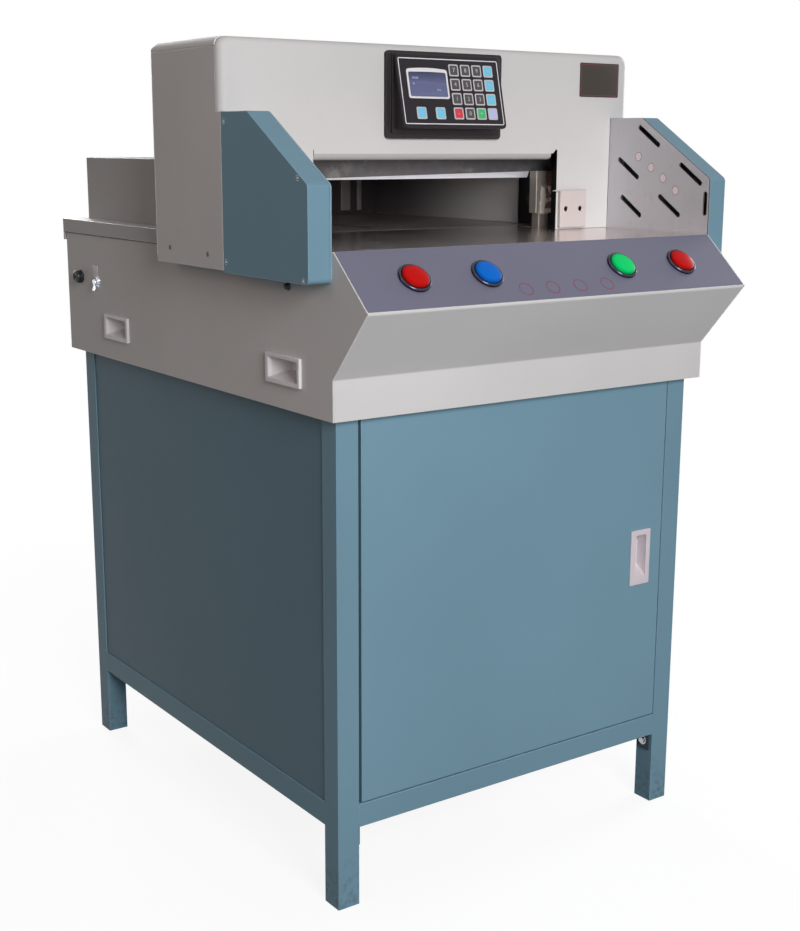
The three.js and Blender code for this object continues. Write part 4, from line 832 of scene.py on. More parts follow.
class Paints:
    """The finishes of this machine, by their use."""

    BLUE = srgb(111, 144, 161)
    GREY = srgb(202, 200, 200)
    stand = PowderCoat("stand_blue_coat", BLUE, 0.38, scuffed_feet=0.4)
    door = PowderCoat("door_blue_coat", shade(BLUE, 1.06), 0.36, dents=0.0022)
    guard = PowderCoat("guard_blue_coat", BLUE, 0.37)
    blue_edge = WornEdge("blue_coat_edge", BLUE)
    body = PowderCoat("body_grey_coat", GREY, 0.4)
    # The head's paint has painted shade in a band under its lip.
    head = PowderCoat("head_grey_coat", shade(GREY, 0.99), 0.42, painted_shade_under_lip=1.133)
    # Painted shade: the rear lid and box take the body's grey darkened.
    rear = PowderCoat("rear_grey_coat_painted_shade", shade(GREY, 0.83), 0.44, dents=0.001)
    # The rear box's hollow has painted light near its opening and painted shade deeper in.
    rear_box = PowderCoat(
        "rear_box_grey_coat_painted_shade", shade(GREY, 0.83), 0.44, dents=0.001, hollow=(0.322, 1.121, 0.5)
    )
    grey_edge = WornEdge("grey_coat_edge", GREY, 0.4)
    # Painted shade: the broken edges of the rear lid and box are darkened to half the grey.
    rear_painted_shade_edge = WornEdge("rear_coat_edge_painted_shade", shade(GREY, 0.5), 0.2)
    panel = PanelEnamel("panel_violet_enamel", srgb(109, 109, 128))
    panel_edge = WornEdge("panel_edge", srgb(150, 150, 166), 0.5)
    guard_steel = BrushedSteel("guard_brushed_steel", srgb(200, 199, 204), Axis.Z, 0.46, bare=0.35)
    ribs = BrushedSteel("gauge_rib_steel", srgb(134, 128, 126), Axis.Z, 0.42, bare=0.2)
    # Painted shade: the back gauge's ground steel is darkened, deep in the throat.
    gauge_painted_shade_steel = BrushedSteel("gauge_steel_painted_shade", srgb(92, 88, 89), Axis.X, 0.4)
    lay_steel = Moulding("side_lay_satin", srgb(198, 188, 186), 0.4, 0.000004, 0.3)
    screw_steel = BrushedSteel("lead_screw_steel", srgb(170, 170, 172), Axis.X, 0.24)
    steel_edge = Plating("steel_broken_edge", srgb(176, 172, 172), 0.34)
    sheared_edge = Moulding("sheared_brown_edge", srgb(104, 78, 70), 0.6, 0.00001, 0.1)
    table = PolishedTable("table_polished_steel", srgb(230, 219, 216))
    blade = GroundBlade("blade_steel_painted_reflections")
    # Painted reflection: the bezels' chrome is darkened, standing in for the dark surroundings it
    # mirrors.
    chrome = Plating("bezel_chrome_painted_dark_reflection", srgb(66, 68, 82), 0.1)
    bright = Plating("switch_bright_chrome", srgb(214, 218, 226), 0.06)
    zinc = Plating("screw_zinc_plate", srgb(176, 176, 178), 0.3)
    # Painted shade: the discs of the head's flush screws are darkened to this brown.
    screw_painted_shade = Moulding("screw_brown_painted_shade", srgb(128, 112, 106), 0.5, shine=0.2)
    cup = Moulding("cup_white_moulding", srgb(216, 212, 214), 0.36)
    handle = Moulding("handle_pale_moulding", srgb(208, 199, 205), 0.4, 0.000008, 0.25)
    black = Moulding("console_black_moulding", srgb(34, 30, 32), 0.46, 0.00001, 0.3)
    nylon = Moulding("gland_black_nylon", srgb(24, 24, 26), 0.38)
    rubber = Moulding("grommet_black_rubber", srgb(28, 28, 28), 0.62)
    oxide = Moulding("screw_black_oxide", srgb(16, 15, 16), 0.4, shine=0.1)
    membrane = Moulding("key_panel_membrane", srgb(42, 39, 44), 0.42, 0.000006, 0.12)
    stick = Moulding("cutting_stick_plastic", srgb(150, 142, 130), 0.6, 0.00003, 0.2)
    casting = CastIron("frame_dark_casting", srgb(58, 60, 63))
    carrier = CastIron("knife_carrier_casting", srgb(100, 99, 102), 0.55)
    clamp = CastIron("clamp_ground_casting", srgb(108, 106, 106), 0.6)
    motor = PowderCoat("motor_dark_coat", srgb(52, 58, 64), 0.45)
    gauge_motor = Moulding("gauge_motor_black", srgb(30, 31, 33), 0.45)
    rod = GreasedRod("pull_rod_greased_steel", srgb(176, 168, 160))
    hinge = BrushedSteel("hinge_pin_steel", srgb(150, 150, 150), Axis.Z, 0.3)
    bracket = PowderCoat("bracket_dark_coat", srgb(64, 80, 90), 0.5)
    # Painted shade: the cabinet's panels take the blue darkened.
    panels = PowderCoat("panel_blue_coat_painted_shade", shade(BLUE, 0.68), 0.38, dents=0.0012)
    display = DisplayGlass("display_blue_glass", srgb(94, 98, 134), srgb(42, 46, 70))
    ink_white = PrintedInk("print_white", srgb(222, 218, 220))
    key_rim = PrintedInk("key_rim_print", srgb(190, 186, 190))
    ink_ring = PrintedInk("print_dull_red", srgb(134, 52, 74))
    ink_spot = PrintedInk("print_pale_spot", srgb(222, 212, 214))
    ink_spot_ring = PrintedInk("print_spot_ring", srgb(136, 84, 92))
    ink_dark = PrintedInk("print_dark_plate", srgb(60, 53, 48), 0.3)
    ink_digit = PrintedInk("print_key_digit", srgb(186, 184, 182))
    ink_display = PrintedInk("display_pale_digits", srgb(176, 184, 224))


@dataclass(frozen=True)
class EdgeBreak:
    """Live modifiers that join a node's loose triangles and break its sharp edges.

    The width is in millimetres, the weld's distance in metres, sharp and flatness in degrees.
    """

    width: float
    segments: int = 2
    sharp: float = 31.0
    rim: bool = False
    weld: float = 0.000004
    flatness: float = 0.4
    across: float = 0.5

    def joined(self) -> bpy.types.NodeTree:
        """The node group that welds the triangles and shades them smooth up to sharp edges.

        Returns:
            The group, made the first time that it is asked for.
        """
        name = "weld_smooth_and_rim" if self.rim else "weld_and_smooth"
        if name in bpy.data.node_groups:
            return bpy.data.node_groups[name]
        group = bpy.data.node_groups.new(name, "GeometryNodeTree")
        for way in ("INPUT", "OUTPUT"):
            group.interface.new_socket("Geometry", in_out=way, socket_type="NodeSocketGeometry")
        tree = Tree(group)
        source = tree.node("NodeGroupInput").outputs[0]
        sockets = {"Geometry": source, "Distance": self.weld}
        whole = tree.node("GeometryNodeMergeByDistance", None, sockets).outputs[0]
        smooth = tree.node("GeometryNodeSetShadeSmooth", None, {"Geometry": whole}).outputs[0]
        angle = tree.node("GeometryNodeInputMeshEdgeAngle").outputs["Unsigned Angle"]
        limits = {0: angle, 1: math.radians(self.sharp)}
        sharp = tree.node("FunctionNodeCompare", {"operation": "GREATER_THAN"}, limits).outputs[0]
        sockets = {"Geometry": smooth, "Selection": sharp, "Shade Smooth": False}
        last = tree.node("GeometryNodeSetShadeSmooth", {"domain": "EDGE"}, sockets).outputs[0]
        tree.node("NodeGroupOutput", None, {0: self.rimmed(tree, last) if self.rim else last})
        return group

    def rimmed(self, tree: Tree, before: bpy.types.NodeSocket) -> bpy.types.NodeSocket:
        """Gives the rim of a sheet that stands across X the edge's finish.

        Args:
            tree: The node group's tree.
            before: The geometry so far.

        Returns:
            The geometry with the painted rim.
        """
        normal = tree.node("GeometryNodeInputNormal").outputs[0]
        parts = tree.node("ShaderNodeSeparateXYZ", None, {0: normal}).outputs
        size = tree.node("ShaderNodeMath", {"operation": "ABSOLUTE"}, {0: parts["X"]}).outputs[0]
        limits = {0: size, 1: self.across}
        thin = tree.node("FunctionNodeCompare", {"operation": "LESS_THAN"}, limits).outputs[0]
        sockets = {"Geometry": before, "Selection": thin, "Material Index": 1}
        return tree.node("GeometryNodeSetMaterialIndex", None, sockets).outputs[0]

    def apply(self, node: bpy.types.Object, material: int) -> None:
        """Adds the modifiers to a node.

        Args:
            node: The node's object.
            material: The material slot of the broken edges.
        """
        node.modifiers.new("weld", "NODES").node_group = self.joined()
        flat = node.modifiers.new("flat_faces", "DECIMATE")
        flat.decimate_type = "DISSOLVE"
        flat.angle_limit = math.radians(self.flatness)
        bevel = node.modifiers.new("broken_edges", "BEVEL")
        bevel.width = self.width * MM
        bevel.segments = self.segments
        bevel.limit_method = "ANGLE"
        bevel.angle_limit = math.radians(self.sharp)
        bevel.material = material
        weighted = node.modifiers.new("face_normals", "WEIGHTED_NORMAL")
        weighted.keep_sharp = True


KEEN = EdgeBreak(0.12)
FINE = EdgeBreak(0.35)
SHEET = EdgeBreak(0.7)
RIMMED = EdgeBreak(1.0, rim=True)
HEAVY = EdgeBreak(1.2)


def dress(
    nodes: Iterable[str], finish: Finish, edge: Finish | None = None, edges: EdgeBreak = SHEET
) -> None:
    """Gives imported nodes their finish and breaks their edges.

    Args:
        nodes: The nodes' names.
        finish: The finish of their faces.
        edge: The finish of their broken edges, where it differs.
        edges: How wide the edges are broken.
    """
    for name in nodes:
        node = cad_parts[name]
        node.data.materials.clear()
        node.data.materials.append(finish.material())
        if edge is not None:
            node.data.materials.append(edge.material())
        edges.apply(node, 0 if edge is None else 1)
        LOG.info("dressed %s with %s", name, finish.name)


def linked(name: str, data: bpy.types.ID) -> bpy.types.Object:
    """Makes an object and links it to the scene.

    Args:
        name: Its name.
        data: Its mesh, camera or lamp.

    Returns:
        The object.
    """
    made = bpy.data.objects.new(name, data)
    bpy.context.scene.collection.objects.link(made)
    return made


class Workpiece:
    """A mesh in millimetres while it is shaped with bmesh operators."""

    same_point: float = 0.0005
    crease: float = 34.0

    def __init__(self) -> None:
        """Starts an empty mesh."""
        self.bm = bmesh.new()

    def lathe(self, outline: Sequence[tuple[float, float]], steps: int = 48) -> "Workpiece":
        """Turns an outline about Z.

        Args:
            outline: (radius, height) pairs, in order.
            steps: How many steps a full turn has.

        Returns:
            This workpiece.
        """
        turned = bmesh.new()
        points = [turned.verts.new((radius, 0.0, height)) for radius, height in outline]
        lines = [turned.edges.new(pair) for pair in zip(points, points[1:])]
        bmesh.ops.spin(
            turned,
            geom=[*points, *lines],
            cent=(0.0, 0.0, 0.0),
            axis=(0.0, 0.0, 1.0),
            angle=math.tau,
            steps=steps,
            use_merge=True,
        )
        return self.take(turned)

    def plate(
        self, width: float, height: float, thickness: float, corner: float = 0.0, steps: int = 5
    ) -> "Workpiece":
        """Adds a plate that lies on the XY plane, with rounded corners.

        Args:
            width: Its size along X.
            height: Its size along Y.
            thickness: Its size along Z.
            corner: The radius of its corners.
            steps: How many steps a corner has.

        Returns:
            This workpiece.
        """
        made = bmesh.new()
        bmesh.ops.create_grid(made, x_segments=1, y_segments=1, size=1.0)
        bmesh.ops.scale(made, vec=(width / 2, height / 2, 1.0), verts=made.verts)
        if corner:
            bmesh.ops.bevel(
                made,
                geom=list(made.verts),
                offset=corner,
                offset_type="OFFSET",
                segments=steps,
                profile=0.5,
                affect="VERTICES",
                material=-1,
            )
        raise_faces(made, list(made.faces), thickness)
        return self.take(made)

    def ring(self, outer: float, inner: float, thickness: float, steps: int = 48) -> "Workpiece":
        """Adds a flat ring on the XY plane."""
        foot, top = [(inner, 0.0), (outer, 0.0)], [(outer, thickness), (inner, thickness)]
        return self.lathe([*foot, *top, foot[0]], steps)

    def prism(self, radius: float, height: float, sides: int, lift: float = 0.0) -> "Workpiece":
        """Adds an upright prism with a regular outline.

        Args:
            radius: The distance of its corners from its middle.
            height: Its height.
            sides: How many sides it has.
            lift: The height of its bottom.

        Returns:
            This workpiece.
        """
        made = bmesh.new()
        bmesh.ops.create_circle(made, cap_ends=True, radius=radius, segments=sides)
        raise_faces(made, list(made.faces), height)
        bmesh.ops.translate(made, vec=(0.0, 0.0, lift), verts=made.verts)
        return self.take(made)

    def words(self, text: str, size: float, thickness: float) -> "Workpiece":
        """Adds digits or a plain sign, centred on the XY plane.

        Args:
            text: What it says.
            size: The height of its letters' line.
            thickness: How thick it is.

        Returns:
            This workpiece.
        """
        curve = bpy.data.curves.new("sign", "FONT")
        curve.body = text
        curve.size = size
        curve.extrude = thickness / 2
        curve.align_x = "CENTER"
        curve.align_y = "CENTER"
        curve.resolution_u = 3
        holder = bpy.data.objects.new("sign", curve)
        mesh = bpy.data.meshes.new_from_object(holder)
        self.bm.from_mesh(mesh)
        bpy.data.objects.remove(holder)
        bpy.data.curves.remove(curve)
        bpy.data.meshes.remove(mesh)
        return self

    def take(self, other: bmesh.types.BMesh) -> "Workpiece":
        """Closes another mesh, turns its faces out and adds it.

        Args:
            other: The mesh, which is used up.

        Returns:
            This workpiece.
        """
        bmesh.ops.remove_doubles(other, verts=other.verts, dist=self.same_point)
        bmesh.ops.recalc_face_normals(other, faces=other.faces)
        mesh = bpy.data.meshes.new("part")
        other.to_mesh(mesh)
        other.free()
        self.bm.from_mesh(mesh)
        bpy.data.meshes.remove(mesh)
        return self

    def soften(self, width: float, segments: int = 2, sharp: float = 30.0) -> "Workpiece":
        """Rounds the sharp edges.

        Args:
            width: How wide they are rounded.
            segments: How many steps the rounding has.
            sharp: The least angle between two faces, in degrees, that counts.

        Returns:
            This workpiece.
        """
        limit = math.radians(sharp)
        edges = [e for e in self.bm.edges if e.is_manifold and e.calc_face_angle(0.0) > limit]
        bmesh.ops.bevel(
            self.bm,
            geom=edges,
            offset=width,
            offset_type="OFFSET",
            segments=segments,
            profile=0.5,
            affect="EDGES",
            clamp_overlap=True,
            material=-1,
        )
        return self

    def painted(self, number: int) -> "Workpiece":
        """Gives all that is there a material's number."""
        for face in self.bm.faces:
            face.material_index = number
        return self

    def draw_in(self, below: float, share: tuple[float, float], shift: Point) -> "Workpiece":
        """Narrows and shifts the lower end, so that the sides slope.

        Args:
            below: The height under which points are moved.
            share: What their X and Y are multiplied by.
            shift: How far they are then moved.

        Returns:
            This workpiece.
        """
        low = [v for v in self.bm.verts if v.co.z < below]
        bmesh.ops.scale(self.bm, vec=(*share, 1.0), verts=low)
        bmesh.ops.translate(self.bm, vec=shift, verts=low)
        return self

    def move(self, place: Matrix) -> "Workpiece":
        """Moves and turns all that is there."""
        bmesh.ops.transform(self.bm, matrix=place, verts=self.bm.verts)
        return self

    def lift(self, height: float) -> "Workpiece":
        """Moves all that is there up, or down where the height is negative."""
        return self.move(Matrix.Translation((0.0, 0.0, height)))

    def add(self, other: "Workpiece", place: Matrix | None = None) -> "Workpiece":
        """Adds another workpiece, moved to its place.

        Args:
            other: The other one, which is used up.
            place: Where it goes.

        Returns:
            This workpiece.
        """
        mesh = bpy.data.meshes.new("part")
        other.bm.to_mesh(mesh)
        other.bm.free()
        if place is not None:
            mesh.transform(place)
        self.bm.from_mesh(mesh)
        bpy.data.meshes.remove(mesh)
        return self

    def joined(self, other: "Workpiece") -> "Workpiece":
        """Fuses another workpiece with this one, which uses it up."""
        return self.combined(other, "UNION")

    def without(self, tool: "Workpiece") -> "Workpiece":
        """Cuts another workpiece out of this one, which uses it up."""
        return self.combined(tool, "DIFFERENCE")

    def combined(self, tool: "Workpiece", way: str) -> "Workpiece":
        """Combines this workpiece with another.

        Args:
            tool: The other one, which is used up.
            way: The boolean modifier's operation.

        Returns:
            This workpiece.
        """
        holders = []
        for source in (self, tool):
            mesh = bpy.data.meshes.new("part")
            source.bm.to_mesh(mesh)
            holders.append(linked("part", mesh))
        cut = holders[0].modifiers.new("cut", "BOOLEAN")
        cut.object = holders[1]
        cut.operation = way
        cut.solver = "EXACT"
        result = holders[0].evaluated_get(bpy.context.evaluated_depsgraph_get()).to_mesh()
        self.bm.clear()
        self.bm.from_mesh(result)
        tool.bm.free()
        for holder in holders:
            bpy.data.meshes.remove(holder.data)
        return self

    def mount(
        self,
        name: str,
        finishes: Sequence[Finish],
        slot: Slot,
        body: str = "machine",
        replaced: Sequence[str] = (),
    ) -> None:
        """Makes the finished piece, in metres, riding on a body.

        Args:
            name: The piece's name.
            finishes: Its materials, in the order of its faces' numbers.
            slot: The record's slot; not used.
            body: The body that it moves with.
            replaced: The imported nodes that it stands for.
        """
        bmesh.ops.scale(self.bm, vec=(MM, MM, MM), verts=self.bm.verts)
        mesh = bpy.data.meshes.new(name)
        self.bm.to_mesh(mesh)
        self.bm.free()
        for polygon in mesh.polygons:
            polygon.use_smooth = True
        mesh.set_sharp_from_angle(angle=math.radians(self.crease))
        for finish in finishes:
            mesh.materials.append(finish.material())
        piece = linked(name, mesh)
        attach(piece, body)
        if replaced:
            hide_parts(*replaced)
        LOG.info("made %s with %d faces on %s", name, len(mesh.polygons), body)


def raise_faces(mesh: bmesh.types.BMesh, faces: list[bmesh.types.BMFace], by: float) -> None:
    """Extrudes faces along Z and keeps the shell closed.

    Args:
        mesh: The mesh.
        faces: The faces.
        by: How far.
    """
    grown = bmesh.ops.extrude_face_region(mesh, geom=faces, use_keep_orig=True)["geom"]
    tops = [item for item in grown if isinstance(item, bmesh.types.BMVert)]
    bmesh.ops.translate(mesh, vec=(0.0, 0.0, by), verts=tops)


def facing(origin: Point, out: Point, up: Point = (0.0, 0.0, 1.0)) -> Matrix:
    """The place of a piece drawn flat on XY.

    Args:
        origin: Where its origin goes, in millimetres.
        out: The direction that its Z takes.
        up: The direction that its Y leans to.

    Returns:
        The transform.
    """
    z = Vector(out).normalized()
    x = Vector(up).cross(z).normalized()
    y = z.cross(x)
    turn = Matrix((x, y, z)).transposed().to_4x4()
    return Matrix.Translation(Vector(origin)) @ turn


def beside(sign: float, x: float, spots: Outline) -> list[Matrix]:
    """The places of pieces on one side of the machine, facing out.

    Args:
        sign: -1 on the left and 1 on the right.
        x: How far the side is from the middle.
        spots: The Y and Z of each piece.

    Returns:
        Their transforms.
    """
    return [facing((sign * x, y, z), (sign, 0.0, 0.0)) for y, z in spots]


def bordered(
    width: float,
    height: float,
    line: float,
    thickness: float,
    corner: float,
    least_corner: float = 0.3,
) -> Workpiece:
    """A flat rectangular frame on the XY plane.

    Args:
        width: Its outer width.
        height: Its outer height.
        line: How wide its line is.
        thickness: How thick it is.
        corner: The radius of its outer corners.
        least_corner: The least radius of its inner corners.

    Returns:
        The frame.
    """
    outer = Workpiece().plate(width, height, thickness, corner)
    opening = (width - 2 * line, height - 2 * line)
    inner = Workpiece().plate(*opening, thickness * 4, max(corner - line, least_corner))
    return outer.without(inner.lift(-thickness))


class Head(Enum):
    """The kinds of screw head on the machine."""

    SOCKET = "socket"
    COUNTERSUNK = "countersunk"
    FLUSH = "flush"


@dataclass
class Screw:
    """One screw's head, with its drive cut into it, or laid on it where it is flush, so that its
    shade is painted.
    """

    radius: float
    height: float
    kind: Head
    chamfer: float = 0.4
    bevel: float = 0.25
    hexagon: float = 0.56
    hexagon_floor: float = 0.35
    cross_floor: float = 0.45
    rim_height: float = 0.4
    seat: tuple[float, float] = (0.35, 0.1)
    seat_height: float = 0.5
    disc_height: float = 0.8
    cut_cross: tuple[float, float] = (1.15, 0.26)
    laid_cross: tuple[float, float] = (1.1, 0.24)
    turns: tuple[float, float] = (0.4, 0.4 + math.pi / 2)
    steps: int = 32

    def head(self) -> Workpiece:
        """Builds the head with its foot on the XY plane.

        Returns:
            The head.
        """
        kinds = {
            Head.SOCKET: self.socket,
            Head.COUNTERSUNK: self.countersunk,
            Head.FLUSH: self.flush,
        }
        return kinds[self.kind]()

    def socket(self) -> Workpiece:
        """Builds a cylinder head with a hexagon socket.

        Returns:
            The head.
        """
        r, h = self.radius, self.height
        outline = [(0.0, 0.0), (r, 0.0), (r, h - self.chamfer), (r - self.chamfer, h), (0.0, h)]
        hole = Workpiece().prism(r * self.hexagon, h, 6, h * self.hexagon_floor)
        return Workpiece().lathe(outline, self.steps).without(hole)

    def countersunk(self) -> Workpiece:
        """Builds a low head with a cross cut into it.

        Returns:
            The head.
        """
        r, h = self.radius, self.height
        outline = [(0.0, 0.0), (r, 0.0), (r, h * self.rim_height), (r - self.bevel, h), (0.0, h)]
        blank = Workpiece().lathe(outline, self.steps)
        length, width = self.cut_cross
        for turn in self.turns:
            place = Matrix.Translation((0.0, 0.0, h * self.cross_floor))
            arm = Workpiece().plate(r * length, r * width, h)
            blank.without(arm.move(place @ Matrix.Rotation(turn, 4, "Z")))
        return blank

    def flush(self) -> Workpiece:
        """Builds a head level with its sheet: a disc, and a seat ring and a cross laid on it, in
        which the shade of the crevice round the head and of the drive's recess is painted.

        Returns:
            The head; the seat ring and the cross have material number 1.
        """
        r, h = self.radius, self.height
        out, back = self.seat
        seat = Workpiece().ring(r + out, r - back, h * self.seat_height, self.steps).painted(1)
        disc = Workpiece().prism(r, h * self.disc_height, self.steps).add(seat)
        length, width = self.laid_cross
        for turn in self.turns:
            arm = Workpiece().plate(r * length, r * width, h).painted(1)
            disc.add(arm, Matrix.Rotation(turn, 4, "Z"))
        return disc

    def at(self, places: Iterable[Matrix]) -> Workpiece:
        """Sets one head at each of some places.

        Args:
            places: The places.

        Returns:
            All the heads.
        """
        group = Workpiece()
        for place in places:
            group.add(self.head(), place)
        return group


@dataclass
class HandCup:
    """A moulded hand cup: a flat flange round a scoop that is deepest towards one corner."""

    replaced: str
    body: str
    place: Matrix
    deep_end: float
    lip: float
    depth: float
    proud: float = 2.8
    deep_side: float = 1.0
    length: float = 96.0
    width: float = 44.0
    seat: float = 0.3
    wall: float = 1.5
    floor: float = 1.6
    corner: float = 3.0
    flange_corner: float = 2.0
    floor_share: tuple[float, float] = (0.72, 0.58)
    drift: tuple[float, float] = (0.12, 0.18)
    rounding: float = 0.9

    def build(self, finish: Finish) -> None:
        """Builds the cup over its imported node.

        Args:
            finish: Its finish.
        """
        opening = (self.length - 2 * self.lip, self.width - 2 * self.lip)
        outside = (opening[0] + 2 * self.wall, opening[1] + 2 * self.wall)
        size = (self.length, self.width, self.proud - self.seat)
        flange = Workpiece().plate(*size, self.flange_corner).lift(self.seat)
        shell = Workpiece().plate(*outside, thickness=self.depth + 2.0, corner=self.corner)
        shell.lift(-self.depth - self.floor)
        shell.without(Workpiece().plate(*opening, thickness=1.0, corner=self.corner).lift(0.2))
        scoop = Workpiece().plate(*opening, thickness=self.depth + 8.0, corner=self.corner)
        aside = self.deep_end * opening[0] * self.drift[0]
        across = self.deep_side * opening[1] * self.drift[1]
        scoop.draw_in(below=1.0, share=self.floor_share, shift=(aside, across, 0.0))
        scoop.lift(-self.depth)
        cup = flange.joined(shell).without(scoop).soften(self.rounding, segments=3)
        cup.move(self.place)
        name = self.replaced + "_scoop"
        cup.mount(name, [finish], Slot.WHITE_PLASTIC, self.body, [self.replaced])


@dataclass
class Stand:
    """The cabinet stand: sides, rails, panels, brackets and the door with its cup."""

    handle_at: Point = (261.0, -403.0, 463.5)
    bolt_at: tuple[float, float] = (-384.0, 112.5)
    bracket_x: float = 308.0
    washer: tuple[float, float, float] = (8.8, 6.0, 0.9)
    bolt_radius: float = 6.5
    bolt_height: float = 4.4

    def build(self) -> None:
        """Dresses the stand's nodes and builds its bolts and its door handle."""
        tubes = ["stand_side_left", "stand_side_right", "lower_rail_front", "lower_rail_rear"]
        dress(tubes, Paints.stand, Paints.blue_edge, HEAVY)
        panels = [f"cabinet_panel_{side}" for side in ("left", "right", "rear")]
        dress([*panels, "cabinet_floor"], Paints.panels, Paints.blue_edge, FINE)
        dress(["rail_bracket_left", "rail_bracket_right"], Paints.bracket, None, FINE)
        dress(["cabinet_door"], Paints.door, Paints.blue_edge, SHEET)
        dress(["door_hinge_pin"], Paints.hinge, None, FINE)
        bolts = Workpiece()
        for sign in SIDES.values():
            place = facing((sign * self.bracket_x, *self.bolt_at), (-sign, 0.0, 0.0))
            bolts.add(Workpiece().ring(*self.washer, steps=32).soften(0.2), place)
            bolt = Workpiece().prism(self.bolt_radius, self.bolt_height, sides=6)
            bolts.add(bolt.soften(0.5), place)
        bolts.mount("bracket_bolts", [Paints.zinc], Slot.CHROME)
        upright = facing(self.handle_at, (0.0, -1.0, 0.0), (1.0, 0.0, 0.0))
        cup = HandCup("door_handle", "door", upright, deep_end=-1.0, lip=9.0, depth=18.0)
        cup.build(Paints.handle)


@dataclass
class Body:
    """The sheet body: sides, skirt, pan, table, lid, box and hand cups."""

    side_face: float = 367.0
    cup_y: tuple[float, float] = (-292.0, 287.0)
    cup_z: float = 825.0
    blank_plate_size: tuple[float, float] = (25.0, 21.0)
    blank_plate_at: Point = (-367.05, 377.0, 919.0)
    seam_run: tuple[float, float] = (42.0, 500.0)
    seam_height: float = 1.5
    seam_depth: float = 1.6
    seam_x: float = 367.05
    lid_lip_z: float = 985.0
    table_screw_at: Point = (-292.0, -66.0, 1004.0)

    def build(self) -> None:
        """Dresses the body's nodes and adds its small pieces."""
        sheets = ["body_side_left", "body_side_right", "front_skirt", "body_pan"]
        dress(sheets, Paints.body, Paints.grey_edge)
        dress(["rear_lid"], Paints.rear, Paints.rear_painted_shade_edge)
        dress(["rear_box"], Paints.rear_box, Paints.rear_painted_shade_edge)
        dress(["work_table"], Paints.table, Paints.steel_edge, FINE)
        dress(["cutting_stick"], Paints.stick, None, FINE)
        self.cups()
        self.blank_plate()
        self.seam_shadows()
        screw = Screw(radius=4.0, height=0.5, kind=Head.COUNTERSUNK).head()
        screw.move(Matrix.Translation(self.table_screw_at))
        screw.mount("table_screw", [Paints.bright], Slot.CHROME)

    def cups(self) -> None:
        """Builds the four hand cups in the sides."""
        for side, sign in SIDES.items():
            places = beside(sign, self.side_face, tuple((y, self.cup_z) for y in self.cup_y))
            for end, place in zip(("front", "rear"), places):
                name = f"carry_cup_{side}_{end}"
                cup = HandCup(name, "machine", place, -sign, lip=5.5, depth=22.0, proud=5.2)
                cup.build(Paints.cup)

    def blank_plate(self) -> None:
        """Builds the small bare plate over the switch."""
        plate = Workpiece().plate(*self.blank_plate_size, thickness=0.5, corner=1.5).soften(0.15)
        plate.move(facing(self.blank_plate_at, (-1.0, 0.0, 0.0)))
        plate.mount("switch_blank_plate", [Paints.ink_white], Slot.WHITE_PLASTIC)

    def seam_shadows(self) -> None:
        """Lays dark strips under the lid's lips, as painted shadow in the seams."""
        front, rear = self.seam_run
        seam = Workpiece()
        middle = ((front + rear) / 2, self.lid_lip_z - self.seam_height / 2)
        for sign in SIDES.values():
            strip = Workpiece().plate(rear - front, self.seam_height, self.seam_depth)
            seam.add(strip, *beside(sign, self.seam_x, (middle,)))
        # Painted shadow in the seams under the lid.
        seam.mount("lid_seam_painted_shadow", [Paints.rubber], Slot.BLACK_PLASTIC)


